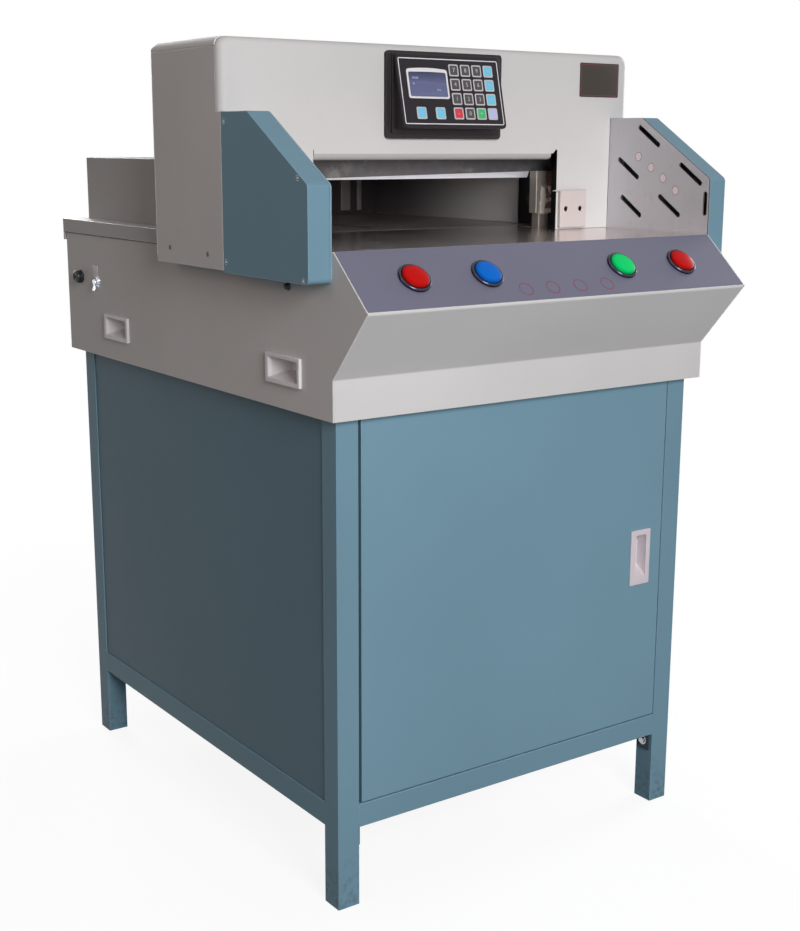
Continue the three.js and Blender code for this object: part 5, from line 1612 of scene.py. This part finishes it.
@dataclass
class SwitchGroup:
    """The cable gland, the toggle switch and the grommet on the left side."""

    face: float = -367.2
    gland_at: tuple[float, float] = (440.0, 905.5)
    gland_radius: float = 12.5
    gland_reach: float = 14.0
    collar: Outline = ((5.6, 0.1), (10.6, 0.1), (10.6, 6.0), (9.8, 6.6), (5.6, 6.6), (5.6, 0.1))
    tail: Outline = ((5.5, -12.0), (9.0, -12.0), (9.0, 0.2), (5.5, 0.2), (5.5, -12.0))
    switch_at: tuple[float, float] = (365.0, 901.5)
    thread_turns: int = 8
    thread_start: float = -4.5
    lever_x: float = -373.3
    lever_turn: float = -172.0
    ball_radius: float = 5.0
    ball_angles: tuple[float, ...] = (0.0, 0.35, 0.7, 1.05, 1.4, 1.75, 2.1)
    neck: Outline = ((3.4, 3.9), (2.9, 5.2), (2.6, 7.0), (2.9, 9.5), (3.5, 12.5))
    tip: Outline = ((3.95, 15.0), (3.7, 16.2), (2.7, 16.8), (0.0, 17.0))
    grommet_at: tuple[float, float] = (-306.0, 948.0)
    flare: Outline = ((0.0, 0.05), (6.2, 0.05), (6.0, 1.0), (5.0, 1.8), (4.6, 2.6))
    nub: Outline = ((4.6, 4.2), (4.2, 5.8), (3.0, 6.9), (1.4, 7.4), (0.0, 7.5))

    def build(self) -> None:
        """Builds the three fittings."""
        self.gland()
        self.switch()
        self.lever()
        self.grommet()

    def on_side(self, at: tuple[float, float]) -> Matrix:
        """The place of a fitting on the left side, from its Y and Z."""
        return facing((self.face, *at), (-1.0, 0.0, 0.0))

    def gland(self) -> None:
        """Builds the gland: lock nut, body, fluted cap and rubber seal."""
        r, reach, bore, foot = self.gland_radius, self.gland_reach, 5.8, 5.2
        shell = Workpiece().prism(r, height=4.2, sides=6, lift=0.05).soften(0.5)
        shell.lathe(self.collar, 48)
        cap = [
            (bore, foot),
            (r * 0.93, foot),
            (r * 0.95, foot + 0.7),
            (r * 0.93, reach - 4.2),
            (r * 0.85, reach - 1.8),
            (r * 0.7, reach - 0.3),
            (r * 0.62, reach),
            (bore, reach - 0.4),
            (bore, foot),
        ]
        shell.add(Workpiece().lathe(cap, 18).soften(0.3, sharp=14.0)).lathe(self.tail, 48)
        place = self.on_side(self.gland_at)
        shell.move(place).mount(
            "gland_fluted", [Paints.nylon], Slot.BLACK_PLASTIC, replaced=["cable_gland"]
        )
        seal = [(3.2, 9.0), (5.9, 9.0), (5.9, reach - 0.7), (3.2, reach - 1.3), (3.2, 9.0)]
        ring = Workpiece().lathe(seal, 48).move(place)
        ring.mount("gland_seal", [Paints.rubber], Slot.BLACK_PLASTIC)

    def switch(self) -> None:
        """Builds the switch: housing inside, threaded bush, washer and nut."""
        part = Workpiece().plate(20.0, 20.0, thickness=26.0, corner=1.5).lift(-30.5)
        start = self.thread_start
        thread = [(3.4, start), (5.6, start)]
        for turn in range(self.thread_turns):
            low = start + turn
            thread += [(5.6, low + 0.25), (5.95, low + 0.5), (5.6, low + 0.75)]
        thread += [(5.4, 3.5), (4.6, 3.6), (3.4, 3.2), (3.4, start)]
        part.lathe(thread, 40)
        part.add(Workpiece().ring(outer=9.4, inner=5.8, thickness=0.5, steps=40).soften(0.12))
        part.add(Workpiece().prism(radius=8.5, height=2.2, sides=6, lift=0.5).soften(0.35))
        part.move(self.on_side(self.switch_at)).mount(
            "switch_bush", [Paints.bright], Slot.CHROME, replaced=["toggle_switch"]
        )

    def lever(self) -> None:
        """Builds the bat lever, which swings on its ball."""
        r = self.ball_radius
        ball = [(r * math.sin(a), -r * math.cos(a)) for a in self.ball_angles]
        lever = Workpiece().lathe([*ball, *self.neck, *self.tip], 40)
        at = Vector((self.lever_x, *self.switch_at))
        lever.move(Matrix.Translation(at) @ Matrix.Rotation(math.radians(self.lever_turn), 4, "Y"))
        lever.mount("lever_bat", [Paints.bright], Slot.CHROME, "lever", ["toggle_lever"])

    def grommet(self) -> None:
        """Builds the rubber nub under the left guard."""
        nub = Workpiece().lathe([*self.flare, *self.nub], 40)
        nub.move(self.on_side(self.grommet_at))
        nub.mount(
            "grommet_nub", [Paints.rubber], Slot.BLACK_PLASTIC, replaced=["guard_cable_grommet"]
        )


@dataclass
class PushButton:
    """One push button: its plated bezel and its domed lens."""

    label: str
    x: float
    colour: Colour
    slot: Slot
    bezel_radius: float = 25.4
    neck_radius: float = 23.5
    neck_depth: float = 16.0
    lens_radius: float = 21.0
    lens_gap: float = 0.3
    lens_depth: float = 10.0
    crown: float = 9.6
    shoulder: float = 6.4
    foot: float = 0.05
    rolled_foot: Outline = ((-0.5, 0.0), (-0.1, 0.3), (0.0, 0.8), (0.0, 2.5))
    rolled_top: Outline = ((-0.3, 3.6), (-0.9, 4.5), (-1.7, 4.9))
    rolled_inside: Outline = ((0.9, 4.9), (0.3, 4.5), (0.0, 3.9))
    dome_steps: int = 14

    def build(self, slope: Matrix) -> None:
        """Builds the bezel and the lens.

        Args:
            slope: The place of the panel's face at the button's middle, without its x.
        """
        place = Matrix.Translation((self.x, 0.0, 0.0)) @ slope
        self.bezel(place)
        self.lens(place)

    def bezel(self, place: Matrix) -> None:
        """Turns the bezel with its rolled edge.

        Args:
            place: Where it goes.
        """
        outer, neck, inner = self.bezel_radius, self.neck_radius, self.lens_radius + self.lens_gap
        outline = [(inner, -self.neck_depth), (neck, -self.neck_depth), (neck, self.foot)]
        rolled = self.rolled_foot + self.rolled_top
        outline += [(outer + dx, self.foot + z) for dx, z in rolled]
        outline += [(outer - 2.4, 5.0), *((inner + dx, z) for dx, z in self.rolled_inside)]
        ring = Workpiece().lathe([*outline, (inner, -self.neck_depth)], 96).move(place)
        name = f"bezel_{self.label}"
        ring.mount(f"{name}_rolled", [Paints.chrome], Slot.CHROME, replaced=[name])

    def lens(self, place: Matrix) -> None:
        """Turns the lens: a straight skirt, a small step and a low dome.

        Args:
            place: Where it goes.
        """
        r, foot = self.lens_radius, self.shoulder - 0.3
        outline = [(0.0, -self.lens_depth), (r, -self.lens_depth), (r, foot - 0.3)]
        for step in range(self.dome_steps):
            angle = math.pi / 2 * step / self.dome_steps
            outline.append((r * math.cos(angle), foot + (self.crown - foot) * math.sin(angle)))
        cap = Workpiece().lathe([*outline, (0.0, self.crown)], 96).move(place)
        centre = (place @ Vector((0.0, 0.0, self.shoulder))) * MM
        finish = LitLens(f"lens_{self.label}", self.colour, tuple(centre), r * MM)
        name = f"button_{self.label}"
        cap.mount(f"{name}_lens", [finish], self.slot, f"{self.label}_button", [name])


@dataclass
class ButtonPanel:
    """The sloped panel with its foil, its four push buttons and its plain printed rings."""

    nose: tuple[float, float] = (-510.0, 927.0)
    top: tuple[float, float] = (-425.0, 1004.0)
    outer_x: float = 261.0
    inner_x: float = 132.5
    red: Colour = srgb(186, 16, 14)
    blue: Colour = srgb(10, 100, 196)
    green: Colour = srgb(8, 206, 106)
    ring_x: tuple[float, ...] = (-78.0, -27.0, 27.0, 81.0)
    ring_up: float = 25.0
    ring_radius: float = 12.0
    ring_line: float = 1.4
    ring_height: float = 0.12
    half_width: float = 364.5
    fold: tuple[float, float] = (4.9, 9.0)
    bend: tuple[float, float] = (-507.52, 928.75)
    foil: float = 0.15

    def slope(self, up: float) -> Matrix:
        """The place on the panel's face at a distance up from its nose.

        Args:
            up: The distance, along the slope.

        Returns:
            The transform of a piece drawn flat there.
        """
        rise = Vector((0.0, self.top[0] - self.nose[0], self.top[1] - self.nose[1])).normalized()
        origin = Vector((0.0, *self.nose)) + rise * up
        return facing(tuple(origin), (0.0, -rise.z, rise.y), tuple(rise))

    def build(self) -> None:
        """Dresses the panel and builds what stands and lies on it."""
        dress(["button_panel"], Paints.panel, Paints.panel_edge, FINE)
        middle = self.slope(math.dist(self.nose, self.top) / 2)
        for button in (
            PushButton("clamp", -self.outer_x, self.red, Slot.RED_PLASTIC),
            PushButton("gauge", -self.inner_x, self.blue, Slot.BLUE_PLASTIC),
            PushButton("start", self.inner_x, self.green, Slot.GREEN_PLASTIC),
            PushButton("cut", self.outer_x, self.red, Slot.RED_PLASTIC),
        ):
            button.build(middle)
        rings, outer, inner = Workpiece(), self.ring_radius, self.ring_radius - self.ring_line
        for x in self.ring_x:
            ring = Workpiece().ring(outer, inner, self.ring_height, steps=64)
            rings.add(ring, Matrix.Translation((x, 0.0, 0.0)) @ self.slope(self.ring_up))
        rings.mount("panel_printed_rings", [Paints.ink_ring], Slot.PANEL_PAINT)
        self.foil_edge()

    def foil_edge(self) -> None:
        """Lays the panel's foil over the fold below it and round the start of the bend."""
        low, high = self.fold
        flat = Workpiece().plate(2 * self.half_width, high - low, self.foil)
        flat.move(self.slope((low + high) / 2))
        start, end = (self.slope(low) @ Vector()).yz, Vector(self.bend)
        rise, middle = start - end, (start + end) / 2
        turned = Workpiece().plate(2 * self.half_width, rise.length, self.foil)
        flat.add(turned, facing((0.0, *middle), (0.0, -rise.y, rise.x), (0.0, *rise)))
        flat.mount("panel_foil_edge", [Paints.panel], Slot.PANEL_PAINT)


@dataclass
class HeadCover:
    """The head: front, cheeks, top, the side lay and a bare dark label plate."""

    plate_middle: Point = (337.0, -183.3, 1256.5)
    plate_size: tuple[float, float] = (90.0, 57.0)
    border_inset: float = 5.0
    border_line: float = 0.7
    side_x: float = 404.96
    side_screws: Outline = ((-7.0, 987.0), (-133.0, 984.0))
    lay_screws: Outline = ((263.5, 1039.0), (296.5, 1039.0))
    lay_screw_y: float = -186.3
    sheet_y: float = -183.0
    lip_z: float = 1123.0
    lip_radius: float = 10.0
    lip_end_x: tuple[float, float] = (-245.5, -228.5)
    lip_cover: float = 0.15

    def build(self) -> None:
        """Dresses the head's nodes and adds its small pieces."""
        nodes = ["head_front", "head_side_left", "head_side_right", "head_top"]
        dress(nodes, Paints.head, Paints.grey_edge, SHEET)
        dress(["side_lay"], Paints.lay_steel, Paints.steel_edge, FINE)
        self.label_plate()
        self.screws()
        self.lip_end()

    def label_plate(self) -> None:
        """Builds the bare dark plate with its plain border."""
        width, height = self.plate_size
        place = facing(self.plate_middle, (0.0, -1.0, 0.0))
        plate = Workpiece().plate(width, height, thickness=0.5, corner=2.5).soften(0.15)
        plate.move(place).mount("label_bare_plate", [Paints.ink_dark], Slot.BLACK_BOARD)
        inset, line = self.border_inset, self.border_line
        border = bordered(width - inset, height - inset, line, thickness=0.56, corner=2.0)
        border.move(place).mount("label_plain_border", [Paints.ink_ring], Slot.BLACK_BOARD)

    def screws(self) -> None:
        """Sets the screws of the head's sides and of the side lay."""
        flush = Screw(radius=3.8, height=0.1, kind=Head.FLUSH)
        socket = Screw(radius=4.4, height=1.1, kind=Head.SOCKET)
        for side, sign in SIDES.items():
            group = flush.at(beside(sign, self.side_x, self.side_screws))
            # Painted shade: the black seat and cross, and the brown disc darkened for a recessed
            # head.
            finishes = [Paints.screw_painted_shade, Paints.oxide]
            group.mount(f"head_screws_{side}", finishes, Slot.CHROME)
        places = [facing((x, self.lay_screw_y, z), (0.0, -1.0, 0.0)) for x, z in self.lay_screws]
        socket.at(places).mount("side_lay_screws", [Paints.oxide], Slot.BLACK_PLASTIC)

    def lip_end(self) -> None:
        """Carries the rolled lip on to the left cheek, where the guard hides what is under it."""
        left, right = self.lip_end_x
        roll = Workpiece().prism(self.lip_radius + self.lip_cover, right - left, sides=64)
        place = Vector((left, self.sheet_y + self.lip_radius, self.lip_z + self.lip_radius))
        roll.move(Matrix.Translation(place) @ Matrix.Rotation(math.pi / 2, 4, "Y"))
        flat = Workpiece().plate(right - left, self.lip_radius, 1.0 + self.lip_cover)
        middle = ((left + right) / 2, self.sheet_y + 1.0, self.lip_z + self.lip_radius * 1.5)
        roll.add(flat, facing(middle, (0.0, -1.0, 0.0)))
        roll.mount("head_lip_end", [Paints.head], Slot.GREY_PAINT)


@dataclass
class Guards:
    """The two side guards with their slotted steel plates, screws and plain printed spots."""

    outer_x: float = 404.96
    inner_x: float = 367.0
    screws: Outline = ((-192.0, 1179.0), (-396.5, 1103.0), (-191.0, 976.5), (-409.0, 965.0))
    spots: Outline = ((-256.0, 1128.0), (-287.0, 1110.0), (-316.5, 1093.0), (-346.5, 1073.0))
    spot_radius: float = 7.6
    spot_line: float = 0.8

    def build(self) -> None:
        """Dresses the guards and adds their small pieces."""
        dress(["guard_left", "guard_right"], Paints.guard, Paints.blue_edge, SHEET)
        dress(["guard_plate_left"], Paints.guard_steel, Paints.blue_edge, RIMMED)
        dress(["guard_plate_right"], Paints.guard_steel, Paints.sheared_edge, RIMMED)
        screw = Screw(radius=3.4, height=0.1, kind=Head.FLUSH)
        for side, sign in SIDES.items():
            group = screw.at(beside(sign, self.outer_x, self.screws))
            # Painted shade: the dark oxide disc round the bright seat and cross.
            group.mount(f"guard_screws_{side}", [Paints.oxide, Paints.bright], Slot.CHROME)
        inside = self.spot_radius - self.spot_line
        discs, rings = Workpiece(), Workpiece()
        for y, z in self.spots:
            place = facing((self.inner_x, y, z), (-1.0, 0.0, 0.0))
            discs.add(Workpiece().prism(inside, height=0.12, sides=48), place)
            rings.add(Workpiece().ring(self.spot_radius, inside, thickness=0.14), place)
        discs.mount("guard_pale_spots", [Paints.ink_spot], Slot.BRUSHED_STEEL)
        rings.mount("guard_spot_rings", [Paints.ink_spot_ring], Slot.BRUSHED_STEEL)


class KeyColour(Enum):
    """The colours of the keys on the console, with the display value of each."""

    DARK = (72, 70, 72)
    SKY = (108, 190, 222)
    RED = (196, 62, 72)
    GREEN = (60, 176, 112)
    LILAC = (176, 184, 222)

    def ink(self) -> Finish:
        """The ink that the tops of this colour are printed with."""
        return PrintedInk(f"key_{self.name.lower()}", srgb(*self.value), 0.36)


@dataclass
class Console:
    """The control console: base, key panel, printed border, display and keys."""

    origin: Point = (-4.5, -194.3, 1284.0)
    tilt: float = 13.3
    face: float = 5.0
    border: tuple[float, float, float, float] = (-0.3, -58.05, 197.0, 103.9)
    key_size: float = 19.0
    key_rim: float = 2.1
    columns: tuple[float, ...] = (7.6, 30.7, 53.7, 76.7)
    rows: tuple[float, ...] = (-23.6, -46.3, -69.1, -92.1)
    signs: tuple[str, ...] = ("789<", "456>", "123+", "-0+=")
    last_row: tuple[str, ...] = ("RED", "DARK", "GREEN", "LILAC")
    loose_keys: tuple[tuple[float, float, KeyColour, str], ...] = (
        (-65.3, -92.3, KeyColour.SKY, "<"),
        (-28.3, -92.3, KeyColour.SKY, ">"),
    )
    screen_middle: tuple[float, float] = (-47.0, -47.0)
    screen_size: tuple[float, float] = (79.0, 46.0)
    screen_opening: tuple[float, float] = (73.0, 38.0)
    arch_from: float = 10.0
    arch_cuts: int = 14
    digits: tuple[tuple[str, float, float, float], ...] = (
        ("00000", 5.0, -24.0, 9.0),
        ("00", 4.2, -28.0, 0.0),
        ("00.0", 4.2, 20.0, -9.0),
    )
    digit_lift: float = 1.74

    def on_face(self, x: float, y: float, lift: float = 0.0) -> Matrix:
        """A place on the key panel's face.

        Args:
            x: The distance to the right of its middle.
            y: The distance up from its top edge, so it is negative.
            lift: The height over the face.

        Returns:
            The transform of a piece drawn flat there.
        """
        tilt = math.radians(self.tilt)
        out = Vector((0.0, -math.cos(tilt), math.sin(tilt)))
        up = Vector((0.0, math.sin(tilt), math.cos(tilt)))
        at = Vector(self.origin) + Vector((x, 0.0, 0.0)) + up * y + out * (self.face + lift)
        return facing(tuple(at), tuple(out), tuple(up))

    def build(self) -> None:
        """Dresses the console and builds what lies on its face."""
        dress(["console_base"], Paints.black, None, SHEET)
        dress(["key_panel"], Paints.membrane, None, SHEET)
        dress(["console_screen"], Paints.display, None, FINE)
        x, y, width, height = self.border
        border = bordered(width, height, line=1.5, thickness=0.14, corner=3.0)
        border.move(self.on_face(x, y))
        border.mount("key_panel_border", [Paints.ink_white], Slot.BLACK_BOARD)
        self.screen_frame()
        self.screen_digits()
        self.keys()

    def arched(self, work: Workpiece, arch: float) -> Workpiece:
        """Arches the top edges of a plate of the display's frame.

        Args:
            work: The plate.
            arch: How far its middle rises.

        Returns:
            The plate.
        """
        tops = [
            edge
            for edge in work.bm.edges
            if all(v.co.y > self.arch_from for v in edge.verts) and edge.calc_length() > 20
        ]
        bmesh.ops.subdivide_edges(work.bm, edges=tops, cuts=self.arch_cuts, use_grid_fill=True)
        for vert in work.bm.verts:
            if vert.co.y > self.arch_from:
                vert.co.y += arch * (1.0 - (2.0 * vert.co.x / self.screen_size[0]) ** 2)
        return work

    def screen_frame(self) -> None:
        """Builds the pale frame of the display, arched along its top."""
        outer = Workpiece().plate(*self.screen_size, thickness=2.2, corner=4.0, steps=6)
        outer = self.arched(outer, arch=2.2)
        inner = Workpiece().plate(*self.screen_opening, thickness=9.0, corner=2.5, steps=6)
        inner = self.arched(inner.move(Matrix.Translation((0.0, -0.9, -3.0))), arch=0.9)
        rim = outer.without(inner).soften(0.4).move(self.on_face(*self.screen_middle))
        rim.mount("display_arched_frame", [Paints.ink_white], Slot.WHITE_PLASTIC)

    def screen_digits(self) -> None:
        """Lays the pale digits on the display."""
        left, top = self.screen_middle
        digits = Workpiece()
        for text, size, x, y in self.digits:
            sign = Workpiece().words(text, size, thickness=0.06)
            digits.add(sign, self.on_face(left + x, top + y, self.digit_lift))
        digits.mount("display_digits", [Paints.ink_display], Slot.SCREEN)

    def key_places(self) -> list[tuple[float, float, KeyColour, str]]:
        """Lists the keys.

        Returns:
            Each key's x and y on the face, its colour and its sign.
        """
        places = []
        last = len(self.rows) - 1
        for row, y in enumerate(self.rows):
            for column, x in enumerate(self.columns):
                usual = KeyColour.SKY if column == len(self.columns) - 1 else KeyColour.DARK
                colour = KeyColour[self.last_row[column]] if row == last else usual
                places.append((x, y, colour, self.signs[row][column]))
        return [*places, *self.loose_keys]

    def keys(self) -> None:
        """Builds the keys: pale rims, coloured tops and their digits or plain signs."""
        rims, marks = Workpiece(), Workpiece()
        tops = {colour: Workpiece() for colour in KeyColour}
        inner = self.key_size - 2 * self.key_rim
        for x, y, colour, sign in self.key_places():
            rim = Workpiece().plate(self.key_size, self.key_size, thickness=0.5, corner=2.6)
            rims.add(rim.soften(0.2), self.on_face(x, y))
            top = Workpiece().plate(inner, inner, thickness=0.8, corner=1.4)
            tops[colour].add(top.soften(0.25), self.on_face(x, y))
            mark = Workpiece().words(sign, size=9.5, thickness=0.08)
            marks.add(mark, self.on_face(x, y, lift=0.82))
        rims.mount("key_rims", [Paints.key_rim], Slot.WHITE_PLASTIC)
        for colour, work in tops.items():
            work.mount(f"key_tops_{colour.name.lower()}", [colour.ink()], Slot.BLACK_BOARD)
        marks.mount("key_signs", [Paints.ink_digit], Slot.BLACK_BOARD)


@dataclass
class Mechanism:
    """Frame, knife, clamp, drive and back gauge: dressed where they stand."""

    ribs: Outline = ((-254.5, 10.5), (-220.5, 23.0), (220.5, 23.0), (254.5, 10.5))
    rib_z: tuple[float, float] = (1013.0, 1083.0)
    rib_depth: float = 3.0
    gauge_face: float = 446.0

    def build(self) -> None:
        """Dresses the mechanism's nodes and gives the back gauge its upright ribs."""
        for node, finish, edge, edges in (
            ("machine_frame", Paints.casting, None, HEAVY),
            ("knife_carrier", Paints.carrier, None, HEAVY),
            ("knife_blade", Paints.blade, None, KEEN),
            ("pull_rod", Paints.rod, None, HEAVY),
            ("crank_wheel", Paints.casting, Paints.steel_edge, SHEET),
            ("drive_motor", Paints.motor, None, SHEET),
            ("clamp_beam", Paints.clamp, Paints.steel_edge, SHEET),
            ("back_gauge", Paints.gauge_painted_shade_steel, Paints.steel_edge, SHEET),
            ("lead_screw", Paints.screw_steel, None, FINE),
            ("gauge_motor", Paints.gauge_motor, None, SHEET),
        ):
            dress([node], finish, edge, edges)
        low, high = self.rib_z
        ribs = Workpiece()
        for x, width in self.ribs:
            rib = Workpiece().plate(width, high - low, self.rib_depth, corner=1.5).soften(0.4)
            ribs.add(rib, facing((x, self.gauge_face, (low + high) / 2), (0.0, -1.0, 0.0)))
        ribs.mount("gauge_ribs", [Paints.ribs], Slot.BRUSHED_STEEL, "gauge")


@dataclass(frozen=True)
class SoftBox:
    """One square soft box, aimed at the machine."""

    name: str
    at: Point
    size: float
    power: float
    tint: Point = (1.0, 1.0, 1.0)
    aim: Point = (0.0, 0.0, 0.75)

    def hang(self) -> None:
        """Hangs the lamp, which the camera doesn't see."""
        data = bpy.data.lights.new(self.name, "AREA")
        data.size = self.size
        data.energy = self.power
        data.color = self.tint
        lamp = linked(self.name, data)
        lamp.location = self.at
        lamp.rotation_euler = (
            (Vector(self.aim) - Vector(self.at)).to_track_quat("-Z", "Y").to_euler()
        )
        lamp.visible_camera = False
        LOG.info("%s of %.0f watts", self.name, self.power)


@dataclass
class Studio:
    """Floor, backdrop, lamps and the camera at the photograph's view."""

    camera_at: Point = (-1.43163399, -2.08848109, 1.14944392)
    yaw: float = 35.29954
    pitch: float = 12.65067
    roll: float = -0.22953
    lens: float = 55.574
    sensor: float = 36.0
    sight: float = 60.0
    floor_radius: float = 16.0
    floor_glow: float = 0.89
    fade: tuple[float, float] = (1.3, 3.2)
    ambient: float = 0.12
    lamps: tuple[SoftBox, ...] = (
        SoftBox("front_box", (-0.95, -3.8, 1.95), 1.6, 130.0),
        SoftBox("left_box", (-3.4, -0.3, 2.3), 1.5, 9.0, (1.0, 0.7, 0.55)),
        SoftBox("right_box", (4.2, 0.3, 1.9), 1.8, 95.0),
        SoftBox("back_box", (0.4, 4.4, 2.2), 1.8, 105.0),
    )

    def build(self) -> None:
        """Sets the stage: the main lamp in front, a weak warm one left, one right, one behind."""
        self.view()
        self.floor()
        self.world()
        for lamp in self.lamps:
            lamp.hang()
        bpy.context.scene.view_settings.view_transform = "Standard"

    def view(self) -> None:
        """Places the camera."""
        data = bpy.data.cameras.new("photo_view")
        data.sensor_width = self.sensor
        data.lens = self.lens
        data.clip_end = self.sight
        camera = linked("photo_view", data)
        yaw, pitch, roll = (math.radians(a) for a in (self.yaw, self.pitch, self.roll))
        flat = math.cos(pitch)
        ahead = Vector((math.sin(yaw) * flat, math.cos(yaw) * flat, -math.sin(pitch)))
        level = Vector((math.cos(yaw), -math.sin(yaw), 0.0))
        down = ahead.cross(level)
        right = level * math.cos(roll) + down * math.sin(roll)
        below = down * math.cos(roll) - level * math.sin(roll)
        turn = Matrix((right, -below, -ahead)).transposed().to_4x4()
        camera.matrix_world = Matrix.Translation(Vector(self.camera_at)) @ turn
        bpy.context.scene.camera = camera
        LOG.info("camera at %s", tuple(round(v, 3) for v in self.camera_at))

    def floor(self) -> None:
        """Lays a plain pale floor that fades into the white backdrop and keeps the shadow."""
        mesh = bmesh.new()
        bmesh.ops.create_circle(mesh, cap_ends=True, radius=self.floor_radius, segments=96)
        data = bpy.data.meshes.new("studio_floor")
        mesh.to_mesh(data)
        mesh.free()
        floor = linked("studio_floor", data)
        s = Shader(bpy.data.materials.new("floor_pale_paint"))
        grain = s.noise(40.0, 3.0)
        colour = s.blend(grain, srgb(98, 98, 98), srgb(104, 104, 104))
        matt = s.node("BsdfDiffuse", None, {"Color": colour})
        glow = s.node("Emission", None, {"Color": WHITE, "Strength": self.floor_glow})
        lit = s.node("AddShader", None, {0: matt.outputs[0], 1: glow.outputs[0]})
        seen = s.seen()
        near = s.node("MixShader", None, {0: seen, 1: matt.outputs[0], 2: lit.outputs[0]})
        white = s.node("Emission", None, {"Color": WHITE, "Strength": 1.0})
        far = s.away_from((0.0, 0.0, 0.0)).between(*self.fade) * seen
        whole = s.node("MixShader", None, {0: far, 1: near.outputs[0], 2: white.outputs[0]})
        s.node("OutputMaterial", None, {"Surface": whole.outputs[0]})
        data.materials.append(s.owner)

    def world(self) -> None:
        """Makes the backdrop white where it is seen, and a soft fill light to the rest."""
        s = Shader(bpy.data.worlds.new("studio"))
        bpy.context.scene.world = s.owner
        seen = s.seen()
        fill = s.node("Background", None, {"Color": WHITE, "Strength": self.ambient})
        white = s.node("Background", None, {"Color": WHITE, "Strength": 1.0})
        mix = s.node("MixShader", None, {0: seen, 1: fill.outputs[0], 2: white.outputs[0]})
        s.node("OutputWorld", None, {"Surface": mix.outputs[0]})


def main() -> None:
    """Builds the sub-assemblies in order."""
    logging.basicConfig(level=logging.INFO, format="%(name)s: %(message)s")
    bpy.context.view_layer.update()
    Studio().build()
    for assembly in (
        Stand(),
        Body(),
        SwitchGroup(),
        ButtonPanel(),
        HeadCover(),
        Guards(),
        Console(),
        Mechanism(),
    ):
        LOG.info("building %s", type(assembly).__name__)
        assembly.build()


if __name__ == "__main__":
    main()
